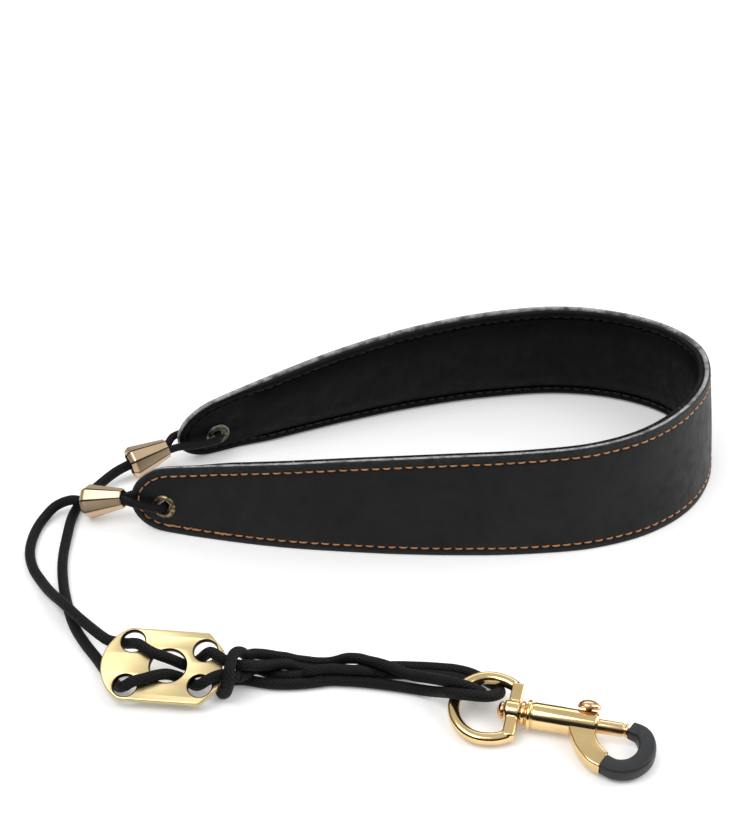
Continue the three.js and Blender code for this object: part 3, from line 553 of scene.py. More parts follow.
def sweep(name, line, radius, material, sides=16, square=1.0, flat=1.0, round_ends=0.0):
    """A tube on a line of points. square below 1 makes its section boxier, and flat scales its height."""
    line = np.array(line, float)
    across, over = carried_frames(line)
    radii = np.broadcast_to(np.array(radius, float), len(line)).copy()
    travelled = arc_lengths(line)
    if round_ends:
        t = tangents(line)
        dome = [math.cos(a) for a in (1.2, 0.8, 0.4)]
        reach = [math.sin(a) for a in (1.2, 0.8, 0.4)]
        head = [line[0] - t[0] * round_ends * r for r in reach]
        tail = [line[-1] + t[-1] * round_ends * r for r in reversed(reach)]
        line = np.vstack([head, line, tail])
        radii = np.concatenate([radii[0] * np.array(dome), radii, radii[-1] * np.array(dome[::-1])])
        across = np.vstack([[across[0]] * 3, across, [across[-1]] * 3])
        over = np.vstack([[over[0]] * 3, over, [over[-1]] * 3])
        travelled = arc_lengths(line)
    angles = np.linspace(0, 2 * math.pi, sides, endpoint=False)
    u = np.sign(np.cos(angles)) * np.abs(np.cos(angles)) ** square
    v = np.sign(np.sin(angles)) * np.abs(np.sin(angles)) ** square * flat
    verts, uvs = [], []
    for k, centre in enumerate(line):
        ring = centre + radii[k] * (np.outer(u, across[k]) + np.outer(v, over[k]))
        verts.extend(ring)
        uvs.extend((angle / (2 * math.pi), travelled[k]) for angle in angles)
    faces = grid_faces(len(line), sides, wrap_columns=True)
    faces.append(tuple(range(sides - 1, -1, -1)))
    faces.append(tuple((len(line) - 1) * sides + i for i in range(sides)))
    return new_object(name, verts, faces, [material], uvs)


def rounded(profile, radius, steps=3):
    """The profile with each inner corner replaced by a short curve."""
    points = [np.array(p, float) for p in profile]
    result = [points[0]]
    for before, corner, after in zip(points[:-2], points[1:-1], points[2:]):
        reach = [min(radius, np.linalg.norm(q - corner) / 2) for q in (before, after)]
        a = corner + (before - corner) / np.linalg.norm(before - corner) * reach[0]
        b = corner + (after - corner) / np.linalg.norm(after - corner) * reach[1]
        for i in range(steps + 1):
            t = i / steps
            result.append((1 - t) ** 2 * a + 2 * t * (1 - t) * corner + t * t * b)
    result.append(points[-1])
    return result


def lathe(name, profile, material, matrix, segments=48, corner=0.00015, sharp=40, ripple=None):
    """A solid of revolution about its own Z from (radius, z) points, placed by the matrix.
    ripple(angle) scales the radius, for facets or fluting."""
    points = rounded(profile, corner) if corner else [np.array(p, float) for p in profile]
    verts, uvs = [], []
    for radius, z in points:
        for k in range(segments):
            angle = 2 * math.pi * k / segments
            r = radius * (ripple(angle) if ripple else 1)
            verts.append(matrix @ Vector((r * math.cos(angle), r * math.sin(angle), z)))
            uvs.append((k / segments, z))
    faces = grid_faces(len(points), segments, wrap_columns=True)
    return new_object(name, verts, faces, [material], uvs, sharp=sharp)


def place(origin, yaw, roll):
    return Matrix.Translation(origin) @ Matrix.Rotation(yaw, 4, "Z") @ Matrix.Rotation(roll, 4, "X")


def along_axis(origin, towards):
    """A frame at the origin with its Z pointing towards the other point."""
    z = (Vector(towards) - Vector(origin)).normalized()
    turn = z.to_track_quat("Z", "Y").to_matrix().to_4x4()
    return Matrix.Translation(origin) @ turn


def joined(name, objects, voxel, smoothing, material):
    """One skin round several pieces, with the meeting corners filled as in a casting."""
    bm = bmesh.new()
    for obj in objects:
        bm.from_mesh(obj.data)
        bpy.data.objects.remove(obj, do_unlink=True)
    mesh = bpy.data.meshes.new(name)
    bm.to_mesh(mesh)
    bm.free()
    mesh.materials.append(material)
    obj = bpy.data.objects.new(name, mesh)
    bpy.context.collection.objects.link(obj)
    remesh = obj.modifiers.new("skin", "REMESH")
    remesh.mode = "VOXEL"
    remesh.voxel_size = voxel
    smooth = obj.modifiers.new("smooth", "SMOOTH")
    smooth.factor = 0.5
    smooth.iterations = smoothing
    apply_modifiers(obj)
    obj.data.materials.clear()
    obj.data.materials.append(material)
    obj.data.shade_smooth()
    return obj


def apply_modifiers(obj):
    graph = bpy.context.evaluated_depsgraph_get()
    mesh = bpy.data.meshes.new_from_object(obj.evaluated_get(graph), depsgraph=graph)
    obj.modifiers.clear()
    obj.data = mesh


def cut_hole(obj, matrix, radius, low, high):
    """Cuts a round hole along the matrix's Z through the object."""
    cutter = lathe("cutter", [(0, low), (radius, low), (radius, high), (0, high)], obj.data.materials[0],
                   matrix, segments=40, corner=0)
    cut_with(obj, cutter)


def cut_with(obj, cutter):
    boolean = obj.modifiers.new("cut", "BOOLEAN")
    boolean.operation = "DIFFERENCE"
    boolean.solver = "EXACT"
    boolean.object = cutter
    apply_modifiers(obj)
    bpy.data.objects.remove(cutter, do_unlink=True)


# ---------------------------------------------------------------- materials

class Shader:
    """A Principled material with helpers that add procedural nodes in object space or on the UVs."""

    def __init__(self, name, color, roughness, metallic=0.0, **sockets):
        self.material = bpy.data.materials.new(name)
        self.material.use_nodes = True
        self.material.diffuse_color = (*color, 1)
        self.tree = self.material.node_tree
        self.out = self.tree.nodes["Principled BSDF"]
        self.out.inputs["Base Color"].default_value = (*color, 1)
        self.out.inputs["Roughness"].default_value = roughness
        self.out.inputs["Metallic"].default_value = metallic
        for socket, value in sockets.items():
            self.out.inputs[socket.replace("_", " ")].default_value = value
        self.coords = self.node("ShaderNodeTexCoord")
        self.last_bump = None

    def node(self, kind, **settings):
        node = self.tree.nodes.new(kind)
        for key, value in settings.items():
            if key in node.inputs:
                node.inputs[key].default_value = value
            else:
                setattr(node, key, value)
        return node

    def link(self, source, target):
        self.tree.links.new(source, target)

    def place(self, scale):
        mapping = self.node("ShaderNodeMapping")
        mapping.inputs["Scale"].default_value = scale
        self.link(self.coords.outputs["Object"], mapping.inputs["Vector"])
        return mapping.outputs["Vector"]

    def noise(self, size, detail=3, stretch=(1, 1, 1), roughness=0.55):
        """Noise whose features are about that size, in metres."""
        scale = tuple(s / size for s in stretch)
        node = self.node("ShaderNodeTexNoise", Scale=1.0, Detail=detail, Roughness=roughness)
        self.link(self.place(scale), node.inputs["Vector"])
        return node.outputs["Fac"]

    def cells(self, size):
        """Distance to the edges of cells of about that size, in metres."""
        node = self.node("ShaderNodeTexVoronoi", Scale=1.0, feature="DISTANCE_TO_EDGE")
        self.link(self.place((1 / size,) * 3), node.inputs["Vector"])
        return node.outputs["Distance"]

    def waves(self, scale, turn):
        """Bands across the UVs."""
        mapping = self.node("ShaderNodeMapping")
        mapping.inputs["Scale"].default_value = scale
        mapping.inputs["Rotation"].default_value = (0, 0, turn)
        self.link(self.coords.outputs["UV"], mapping.inputs["Vector"])
        node = self.node("ShaderNodeTexWave", Scale=1.0)
        self.link(mapping.outputs["Vector"], node.inputs["Vector"])
        return node.outputs["Fac"]

    def ramp(self, value, low, high, to_low=0.0, to_high=1.0):
        node = self.node("ShaderNodeMapRange")
        node.inputs["From Min"].default_value = low
        node.inputs["From Max"].default_value = high
        node.inputs["To Min"].default_value = to_low
        node.inputs["To Max"].default_value = to_high
        self.link(value, node.inputs["Value"])
        return node.outputs["Result"]

    def math(self, operation, a, b):
        node = self.node("ShaderNodeMath", operation=operation)
        for value, socket in ((a, node.inputs[0]), (b, node.inputs[1])):
            if isinstance(value, (int, float)):
                socket.default_value = value
            else:
                self.link(value, socket)
        return node.outputs[0]

    def attribute(self, name):
        return self.node("ShaderNodeAttribute", attribute_name=name).outputs["Fac"]

    def mix_color(self, factor, low, high):
        node = self.node("ShaderNodeMix", data_type="RGBA")
        self.link(factor, node.inputs["Factor"])
        for value, socket in ((low, node.inputs[6]), (high, node.inputs[7])):
            if isinstance(value, tuple):
                socket.default_value = (*value, 1)
            else:
                self.link(value, socket)
        return node.outputs[2]

    def color(self, value):
        self.link(value, self.out.inputs["Base Color"])

    def roughness(self, value):
        self.link(value, self.out.inputs["Roughness"])

    def bump(self, height, distance, strength=1.0):
        node = self.node("ShaderNodeBump")
        node.inputs["Strength"].default_value = strength
        node.inputs["Distance"].default_value = distance
        self.link(height, node.inputs["Height"])
        if self.last_bump is not None:
            self.link(self.last_bump, node.inputs["Normal"])
        self.last_bump = node.outputs["Normal"]
        self.link(self.last_bump, self.out.inputs["Normal"])


def leather_material():
    s = Shader("leather_grain", (0.0085, 0.0092, 0.0108), 0.5, Specular_IOR_Level=0.2)
    blotches = s.ramp(s.noise(0.022, 4), 0.35, 0.68)
    tone = s.mix_color(blotches, (0.0048, 0.0052, 0.0062), (0.0086, 0.0092, 0.0108))
    worn = s.attribute("wear")
    scuffed = s.math("MULTIPLY", worn, s.ramp(s.noise(0.003, 5), 0.3, 0.7))
    s.color(s.mix_color(scuffed, tone, (0.03, 0.031, 0.033)))
    s.roughness(s.ramp(s.noise(0.006, 5), 0.3, 0.7, 0.42, 0.6))
    pores = s.ramp(s.cells(0.00075), 0.02, 0.28)
    s.bump(pores, 0.00006, 0.55)
    s.bump(s.noise(0.0022, 4), 0.00014, 0.5)
    s.bump(s.noise(0.012, 3, stretch=(1, 1, 0.45)), 0.0006, 0.35)
    return s.material


def raw_edge_material():
    s = Shader("leather_raw_edge", (0.2, 0.2, 0.205), 0.95, Sheen_Weight=0.35, Sheen_Roughness=0.5)
    fibres = s.noise(0.0006, 6, stretch=(1, 1, 2.5), roughness=0.75)
    coarse = s.noise(0.004, 4)
    grey = s.mix_color(s.ramp(fibres, 0.35, 0.6), (0.1, 0.102, 0.107), (0.62, 0.625, 0.64))
    s.color(s.mix_color(s.ramp(coarse, 0.42, 0.62), grey, (0.1, 0.102, 0.107)))
    s.bump(fibres, 0.0004, 1.0)
    return s.material


def lining_material():
    s = Shader("lining_leather", (0.0035, 0.0035, 0.004), 0.65, Specular_IOR_Level=0.1)
    tone = s.ramp(s.noise(0.016, 4), 0.35, 0.7)
    s.color(s.mix_color(tone, (0.0026, 0.0026, 0.0029), (0.0052, 0.0052, 0.006)))
    s.roughness(s.ramp(s.noise(0.004, 4), 0.3, 0.7, 0.5, 0.72))
    s.bump(s.ramp(s.cells(0.0009), 0.02, 0.3), 0.00008, 0.6)
    s.bump(s.noise(0.003, 5), 0.0002, 0.5)
    return s.material


def thread_material(name, dark, light):
    s = Shader(name, light, 0.6, Sheen_Weight=0.2, Sheen_Roughness=0.4)
    twist = s.waves((2.0, 1100.0, 1.0), turn=0.5)
    shade = s.noise(0.004, 3)
    # the twist's grooves darker than its ridges: painted shade
    ply_groove_shade = s.mix_color(twist, dark, light)
    s.color(s.mix_color(s.ramp(shade, 0.35, 0.7, 0.0, 0.5), ply_groove_shade, dark))
    s.bump(twist, 0.00012, 0.8)
    return s.material


def braid_material():
    """Fine diagonal braid: two sets of yarns that cross, from the tube's own UVs."""
    s = Shader("cord_braid", (0.005, 0.005, 0.0055), 0.65, Specular_IOR_Level=0.2)
    split = s.node("ShaderNodeSeparateXYZ")
    s.link(s.coords.outputs["UV"], split.inputs[0])
    around = s.math("MULTIPLY", split.outputs["X"], 8 * 2 * math.pi)
    along = s.math("MULTIPLY", split.outputs["Y"], 2 * math.pi / 0.0016)
    one = s.math("SINE", s.math("ADD", along, around), 0)
    two = s.math("SINE", s.math("SUBTRACT", along, around), 0)
    over = s.math("MAXIMUM", one, two)
    fibres = s.noise(0.0005, 3)
    height = s.math("ADD", over, s.math("MULTIPLY", fibres, 0.8))
    # the low places between the yarns darker than their tops: painted shade, with the fibres' own random tone
    s.color(s.mix_color(s.ramp(height, 0.3, 1.5), (0.0018, 0.0018, 0.002), (0.0078, 0.0077, 0.0084)))
    s.bump(height, 0.00012, 0.9)
    s.bump(s.noise(0.0035, 3), 0.0003, 0.3)
    return s.material


def metal_shader(name, color, roughness, dents=0.00005):
    """Polished plate with faint smudges, hairline scratches and shallow dents."""
    s = Shader(name, color, roughness, metallic=1.0)
    film = s.noise(0.009, 4)
    s.roughness(s.ramp(film, 0.3, 0.75, roughness, roughness + 0.08))
    s.bump(s.noise(0.0004, 2, stretch=(1, 1, 0.15)), 0.000004, 0.5)
    s.bump(s.noise(0.007, 2), dents, 0.25)
    return s


def metal_material(name, color, roughness, dents=0.00005):
    s = metal_shader(name, color, roughness, dents)
    darker = tuple(c * 0.86 for c in color)
    s.color(s.mix_color(s.ramp(s.noise(0.014, 3), 0.35, 0.7), color, darker))
    return s.material


def cap_material():
    """Plated metal, with ragged near-black lines of painted shade in the grooves between the facets."""
    color = (0.66, 0.49, 0.32)
    s = metal_shader("champagne_plate", color, 0.28)
    split = s.node("ShaderNodeSeparateXYZ")
    s.link(s.coords.outputs["UV"], split.inputs[0])
    to_edge = s.math("PINGPONG", s.math("MULTIPLY", split.outputs["X"], CAP_FACETS), 0.5)
    ragged = s.math("ADD", to_edge, s.math("MULTIPLY", s.noise(0.0007, 4), -0.06))
    # near-black lines in the facet grooves: painted shade
    s.color(s.mix_color(s.ramp(ragged, 0.02, 0.08), (0.045, 0.032, 0.02), color))
    return s.material


def antique_material(name, light):
    s = Shader(name, light, 0.36, metallic=1.0)
    patina = s.ramp(s.noise(0.0016, 5), 0.38, 0.62)
    s.color(s.mix_color(patina, (0.07, 0.055, 0.032), light))
    s.roughness(s.ramp(patina, 0, 1, 0.5, 0.25))
    s.bump(s.noise(0.0007, 3), 0.00004, 0.5)
    return s.material


def rubber_material():
    s = Shader("rubber_coating", (0.012, 0.013, 0.015), 0.42, Specular_IOR_Level=0.45)
    tone = s.ramp(s.noise(0.008, 4), 0.35, 0.7)
    s.color(s.mix_color(tone, (0.009, 0.0098, 0.0115), (0.016, 0.0172, 0.02)))
    s.roughness(s.ramp(s.noise(0.003, 4), 0.3, 0.7, 0.4, 0.56))
    s.bump(s.noise(0.0005, 4), 0.00003, 0.6)
    s.bump(s.noise(0.004, 3), 0.0002, 0.4)
    return s.material


def floor_material():
    s = Shader("floor", (0.93, 0.93, 0.93), 0.9, Specular_IOR_Level=0.1, Emission_Strength=0.2)
    s.out.inputs["Emission Color"].default_value = (1, 1, 1, 1)
    return s.material


MATERIALS = {
    "leather": leather_material(),
    "raw_edge": raw_edge_material(),
    "lining": lining_material(),
    "stitch": thread_material("stitch_thread", (0.4, 0.12, 0.025), (1.0, 0.5, 0.2)),
    "black_stitch": thread_material("lining_thread", (0.003, 0.003, 0.003), (0.014, 0.014, 0.015)),
    "cord": braid_material(),
    "antique": antique_material("antique_brass", (0.42, 0.34, 0.18)),
    # the same antique brass made darker: painted shade for the back eyelet
    "antique_shaded": antique_material("antique_brass_painted_shade", (0.15, 0.135, 0.11)),
    "washer": metal_material("dull_nickel", (0.2, 0.2, 0.195), 0.3),
    "cap": cap_material(),
    "plate": metal_material("pale_gold_plate", (0.66, 0.535, 0.285), 0.3, dents=0.00001),
    # the holes' walls and rims: painted shade and painted reflection of the dark cords
    "hole": metal_material("hole_wall_painted_shade", (0.05, 0.036, 0.02), 0.3),
    "hook": metal_material("gold_plate", (0.86, 0.63, 0.31), 0.1),
    "copper": metal_material("copper_gold_plate", (0.80, 0.50, 0.28), 0.13),
    "plunger": metal_material("pink_gold_plate", (0.84, 0.59, 0.33), 0.12),
    "spring": metal_material("spring_wire", (0.42, 0.42, 0.42), 0.25),
    "rubber": rubber_material(),
}


# ---------------------------------------------------------------- neck band

BAND_LINE = spline(BAND_PLAN, 3000)
BAND_LENGTH = arc_lengths(BAND_LINE)[-1]


def band_points(distance, height, depth):
    """Points of the band: distance from the front end, height, and depth in from the outer face."""
    at = np.clip(np.asarray(distance, float) / BAND_LENGTH, 0, 1) * (len(BAND_LINE) - 1)
    index = np.arange(len(BAND_LINE))
    base = np.stack([np.interp(at, index, BAND_LINE[:, k]) for k in range(3)], axis=-1)
    after, before = np.minimum(at + 3, index[-1]), np.maximum(at - 3, 0)
    ahead = np.stack([np.interp(after, index, BAND_LINE[:, k]) for k in range(2)], axis=-1)
    behind = np.stack([np.interp(before, index, BAND_LINE[:, k]) for k in range(2)], axis=-1)
    along = ahead - behind
    along /= np.linalg.norm(along, axis=-1, keepdims=True)
    inward = base[..., 2] * height / BAND_HEIGHT + depth
    x = base[..., 0] - along[..., 1] * inward
    y = base[..., 1] + along[..., 0] * inward
    return np.stack([x, y, np.broadcast_to(height, x.shape)], axis=-1)


def band_edges(distance, inset=0.0):
    from_end = np.minimum(distance, BAND_LENGTH - distance)
    taper = np.clip(1 - from_end / TAPER_LENGTH, 0, None) ** TAPER_POWER
    top = BAND_HEIGHT - (BAND_HEIGHT - TIP_HEIGHT) * taper
    short = np.clip(1 - (from_end - inset) / (NOSE_LENGTH - inset), 0, 1)
    nose = (1 - short ** NOSE_POWER) ** (1 / NOSE_POWER)
    low = NOSE_CENTRE - (NOSE_CENTRE - inset) * nose
    return low, NOSE_CENTRE + (top - inset - NOSE_CENTRE) * nose


def column_places(inset):
    """Distances from the front end for one outline of the band, closer together round its ends."""
    share = np.linspace(0, 1, BAND_COLUMNS)
    last = share[END_COLUMNS]
    for k in range(END_COLUMNS):
        share[k] = last * (1 - math.cos(math.pi / 2 * k / END_COLUMNS))
        share[-1 - k] = 1 - share[k]
    return inset + (BAND_LENGTH - 2 * inset) * share


def pad_lift(distance):
    from_end = np.minimum(distance, BAND_LENGTH - distance)
    return smoothstep(from_end, PAD_START - PAD_BLEND / 2, PAD_START + PAD_BLEND / 2)


def band_grid(edge, middle, depth_at):
    """Rows of points across the band, up from its lower edge, over the middle fractions, and on to its
    upper edge. depth_at(kind, row, places, share) gives each row's depth."""

    def edge_row(k, share):
        inset = edge[k][0]
        places = column_places(inset)
        height = band_edges(places, inset)[int(share)]
        return band_points(places, height, depth_at("edge", k, places, share))

    rows = [edge_row(k, 0.0) for k in range(len(edge))]
    inset = edge[-1][0]
    places = column_places(inset)
    low, high = band_edges(places, inset)
    for share in middle:
        height = low + (high - low) * share
        rows.append(band_points(places, height, depth_at("middle", None, places, share)))
    return rows + [edge_row(k, 1.0) for k in reversed(range(len(edge)))]


def closed_band(name, rows, materials, face_material, wear=None):
    """The grid wrapped into a closed shell: its last row joins its first."""
    columns = len(rows[0])
    verts = np.vstack(rows)
    faces, kinds = [], []
    for r in range(len(rows)):
        after = (r + 1) % len(rows)
        for c in range(columns - 1):
            a, b = r * columns + c, after * columns + c
            faces.append((a, a + 1, b + 1, b))
            kinds.append(face_material(r))
    mesh = bpy.data.meshes.new(name)
    mesh.from_pydata([tuple(v) for v in verts], [], faces)
    for material in materials:
        mesh.materials.append(material)
    mesh.polygons.foreach_set("material_index", kinds)
    if wear is not None:
        values = np.repeat(np.array([wear(r) for r in range(len(rows))], np.float32), columns)
        attribute = mesh.attributes.new("wear", "FLOAT", "POINT")
        attribute.data.foreach_set("value", values)
    obj = bpy.data.objects.new(name, mesh)
    bpy.context.collection.objects.link(obj)
    finish_mesh(obj, sharp=60)
    return obj


def eyelet_frame(distance):
    centre = band_points(distance, EYELET_HEIGHT, 0.0)
    along = band_points(distance + MM, EYELET_HEIGHT, 0.0) - band_points(distance - MM, EYELET_HEIGHT, 0.0)
    rise = band_points(distance, EYELET_HEIGHT + MM, 0.0) - centre
    along = Vector(along).normalized()
    outward = along.cross(Vector(rise)).normalized()
    up = outward.cross(along)
    matrix = Matrix((along, up, outward)).transposed().to_4x4()
    return Matrix.Translation(Vector(centre)) @ matrix


EYELETS = {
    "front": eyelet_frame(EYELET_AT["front"]),
    "back": eyelet_frame(BAND_LENGTH - EYELET_AT["back"]),
}


def seam_waver(places, seed, size):
    """A slow, small wandering, so that rows aren't ruled lines."""
    phases = [random.Random(seed + k).uniform(0, 2 * math.pi) for k in range(4)]
    lengths = (0.031, 0.013, 0.0067, 0.0031)
    total = sum(np.sin(places / length + phase) for length, phase in zip(lengths, phases))
    return size * total / len(lengths)


def outer_leather():
    middle = np.linspace(0, 1, 11)[1:-1]

    def depth(kind, row, places, share):
        if kind == "middle":
            crown = LEATHER_CROWN * 4 * share * (1 - share)
            return seam_waver(places, 11, 0.00012) - crown
        base = LEATHER_EDGE[row][1]
        if row in (10, 11, 12):
            return base + 0.00008 * np.cos(2 * math.pi * places / STITCH_PITCH)
        return base + seam_waver(places, row, 0.00006)

    rows = band_grid(LEATHER_EDGE, middle, depth)
    count = len(rows)

    def face_material(row):
        return 1 if row < LEATHER_RAW_ROWS - 1 or row >= count - LEATHER_RAW_ROWS else 0

    def wear(row):
        from_edge = min(row, count - 1 - row)
        return max(0.0, 1 - abs(from_edge - 6) / 3) if from_edge < 10 else 0.0

    materials = [MATERIALS["leather"], MATERIALS["raw_edge"]]
    obj = closed_band("leather_outer", rows, materials, face_material, wear)
    for matrix in EYELETS.values():
        cut_hole(obj, matrix, EYELET_HOLE, -0.006, 0.003)
    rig.ride(obj, "neck_band")
    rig.replaces(obj, "outer_leather")
    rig.slot(obj, "leather")


def bend_wrinkles(places, share):
    """Folds across the padding, deepest where the band bends most."""
    tight = np.exp(-((places - 0.27) / 0.055) ** 2)
    folds = np.sin(places / 0.0019 + 1.7 * np.sin(places / 0.008)) * np.sin(places / 0.0071 + 4 * share)
    return tight * folds * 0.00035 * math.sin(math.pi * min(max(share, 0.04), 0.96))


def padded_lining():
    middle = np.linspace(0, 1, 15)[1:-1]

    def depth(kind, row, places, share):
        lift = pad_lift(places)
        if kind == "middle":
            full = LINING_EDGE[-1][1] + 0.0002 * 4 * share * (1 - share)
            dent = seam_waver(places + 0.02 * share, 31, 0.00025) + bend_wrinkles(places, share)
            return LINING_DEPTH + (full + dent - LINING_DEPTH) * lift
        base = LINING_EDGE[row][1]
        if row > LINING_CREASE_ROW:
            pucker = 0.00022 * np.cos(2 * math.pi * places / STITCH_PITCH) / (row - LINING_CREASE_ROW)
            rise = base + pucker + seam_waver(places, 41, 0.0001) + bend_wrinkles(places, 0.15)
            return LINING_DEPTH + (rise - LINING_DEPTH) * np.maximum(lift, 0.12)
        return base + LINING_SWELL * lift * min(1.0, row / 4)

    rows = band_grid(LINING_EDGE, middle, depth)
    obj = closed_band("lining_padded", rows, [MATERIALS["lining"]], lambda row: 0)
    for matrix in EYELETS.values():
        cut_hole(obj, matrix, EYELET_HOLE, -0.009, 0.003)
    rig.ride(obj, "neck_band")
    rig.replaces(obj, "lining", "foam_pad")
    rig.slot(obj, "lining")
    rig.padded(obj, fill=0.5)


def seam_line(inset, depth, swell):
    """The seam once round the band as evenly spaced points, with the outward direction at each."""
    places = column_places(inset)
    low, high = band_edges(places, inset)
    places = np.concatenate([places[::-1], places[1:]])
    depth = depth + swell * pad_lift(places)
    heights = np.concatenate([low[::-1], high[1:]])
    line = band_points(places, heights, depth)
    deeper = band_points(places, heights, depth + MM)
    both = np.hstack([line, line - deeper])
    s = arc_lengths(line)
    at = np.arange(0, s[-1], SEAM_STEP)
    both = np.stack([np.interp(at, s, both[:, k]) for k in range(6)], axis=1)
    out = both[:, 3:]
    return both[:, :3], out / np.linalg.norm(out, axis=1)[:, None]


def one_stitch(line, out, start, length, shift, slant, radius, sunk):
    """Points of one stitch, ring by ring, with their UVs. Its ends go down into the leather."""
    verts, uvs = [], []
    for k in range(STITCH_RINGS):
        t = k / (STITCH_RINGS - 1)
        i = int((start + length * t) / SEAM_STEP)
        i = min(max(i, 1), len(line) - 2)
        along = line[i + 1] - line[i - 1]
        along /= np.linalg.norm(along)
        across = np.cross(out[i], along)
        arch = math.sin(math.pi * t) ** 0.5
        centre = line[i] + out[i] * (sunk * (arch - 1) + radius * 0.35)
        centre = centre + across * (shift + slant * (t - 0.5))
        r = radius * (0.72 + 0.28 * arch)
        for a in range(STITCH_SIDES):
            angle = 2 * math.pi * a / STITCH_SIDES
            verts.append(centre + r * (math.cos(angle) * across + math.sin(angle) * out[i]))
            uvs.append((a / STITCH_SIDES, start + length * t))
    return verts, uvs


def stitch_row(name, depth, radius, sunk, material, seed, over=(), swell=0.0):
    """Separate stitches along the seam. Those in over lie on top of the row, at distances along it back
    from the band's front tip."""
    line, out = seam_line(SEAM_INSET, depth, swell)
    rng = random.Random(seed)
    total = SEAM_STEP * (len(line) - 1)
    at = rng.uniform(0, STITCH_PITCH)
    plan = []
    while at < total - STITCH_PITCH:
        pitch = STITCH_PITCH * rng.uniform(0.95, 1.05)
        length = STITCH_SHARE * STITCH_PITCH * rng.uniform(0.94, 1.05)
        plan.append((at, length, rng.uniform(-1, 1) * 0.00006, rng.uniform(-1, 1) * 0.00015))
        at += pitch
    for back in over:
        slant = rng.choice((-1, 1)) * rng.uniform(0.0004, 0.001)
        plan.append((total / 2 - back, rng.uniform(0.0014, 0.0024), rng.uniform(-1, 1) * 0.00045, slant))
    ring_faces = grid_faces(STITCH_RINGS, STITCH_SIDES, wrap_columns=True)
    ring_faces.append(tuple(reversed(range(STITCH_SIDES))))
    ring_faces.append(tuple((STITCH_RINGS - 1) * STITCH_SIDES + a for a in range(STITCH_SIDES)))
    verts, faces, uvs = [], [], []
    for stitch in plan:
        first = len(verts)
        stitch_verts, stitch_uvs = one_stitch(line, out, *stitch, radius, sunk)
        verts += stitch_verts
        uvs += stitch_uvs
        faces += [tuple(first + i for i in face) for face in ring_faces]
    return new_object(name, verts, faces, [material], uvs, sharp=70)


def stitches():
    row = stitch_row("edge_stitches", 0.00014, 0.00032, 0.0006, MATERIALS["stitch"], 3, over=OVER_STITCHES)
    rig.ride(row, "neck_band")
    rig.replaces(row, "edge_stitching")
    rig.slot(row, "thread")
    inner = stitch_row("lining_stitches", 0.0029, 0.0003, -0.0004, MATERIALS["black_stitch"], 5,
                       swell=LINING_SWELL)
    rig.ride(inner, "neck_band")
    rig.slot(inner, "lining")


def edge_fuzz():
    """Loose fibres standing out of the leather's cut edge."""
    rng = random.Random(19)
    fibre_faces = grid_faces(3, 3, wrap_columns=True)
    verts, faces = [], []
    for _ in range(FIBRES):
        place_at = rng.uniform(0.002, BAND_LENGTH - 0.002)
        upper = rng.random() < FIBRES_ON_TOP
        low, high = band_edges(place_at, 0.0)
        height = float(high if upper else low) - (0.0001 if upper else -0.0001)
        root = Vector(band_points(place_at, height, rng.uniform(0.0005, 0.0021)))
        lift = 1 if upper else -0.5
        lean = Vector((rng.uniform(-1, 1), rng.uniform(-1, 1), rng.uniform(0.2, 1) * lift))
        lean.normalize()
        length = rng.choice((0.0004, 0.0006, 0.0009, 0.0013)) * rng.uniform(0.7, 1.3)
        tip = root + lean * length
        sway = Vector((rng.uniform(-1, 1), rng.uniform(-1, 1), rng.uniform(-1, 1)))
        middle = (root + tip) / 2 + sway * length * 0.2
        tip.z = max(tip.z, 0.0001)
        middle.z = max(middle.z, 0.0001)
        thick = rng.uniform(0.00002, 0.000045)
        side = lean.orthogonal().normalized() * thick
        other = lean.cross(side).normalized() * thick
        first = len(verts)
        for centre, size in ((root, 1.0), (middle, 0.8), (tip, 0.3)):
            verts.extend([centre + side * size, centre - side * size * 0.5 + other * size,
                          centre - side * size * 0.5 - other * size])
        faces += [tuple(first + i for i in face) for face in fibre_faces]
    obj = new_object("edge_fibres", verts, faces, [MATERIALS["raw_edge"]])
    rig.ride(obj, "neck_band")
    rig.slot(obj, "leather")


def eyelet_ring(side):
    matrix = EYELETS[side]
    # the back eyelet takes the darker copy of the brass: painted shade, as its side faces into shade
    metal = MATERIALS["antique" if side == "front" else "antique_shaded"]
    ring = lathe(f"eyelet_ring_{side}", EYELET_PROFILE, metal, matrix, segments=56, corner=0.00025)
    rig.ride(ring, "neck_band")
    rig.replaces(ring, f"eyelet_{side}")
    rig.slot(ring, "antique_brass")
    washer = lathe(f"eyelet_washer_{side}", WASHER_PROFILE, MATERIALS["washer"], matrix, segments=56)
    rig.ride(washer, "neck_band")
    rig.replaces(washer, f"washer_{side}")
    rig.slot(washer, "washer_metal")


# ---------------------------------------------------------------- bell caps and the cord

def bell_cap(side):
    matrix = along_axis(*CAPS[side]) @ Matrix.Rotation(CAP_TURN, 4, "Z")

    def facets(angle):
        sector = 2 * math.pi / CAP_FACETS
        off = angle % sector - sector / 2
        flat = math.cos(sector / 2) / math.cos(off)
        groove = 1 - 0.008 * math.exp(-((abs(off) - sector / 2) / 0.03) ** 2)
        return 1.035 * flat * groove

    cap = lathe(f"bell_{side}", CAP_PROFILE, MATERIALS["cap"], matrix, segments=240, corner=0.0004,
                sharp=60, ripple=facets)
    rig.ride(cap, f"{side}_cap")
    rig.replaces(cap, f"bell_cap_{side}")
    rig.slot(cap, "champagne_metal")
    knot = lathe(f"knot_{side}", KNOT_PROFILE, MATERIALS["cord"], matrix, segments=32, corner=0.0008)
    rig.ride(knot, f"{side}_cap")
    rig.replaces(knot, f"cord_knot_{side}")
    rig.slot(knot, "cord")


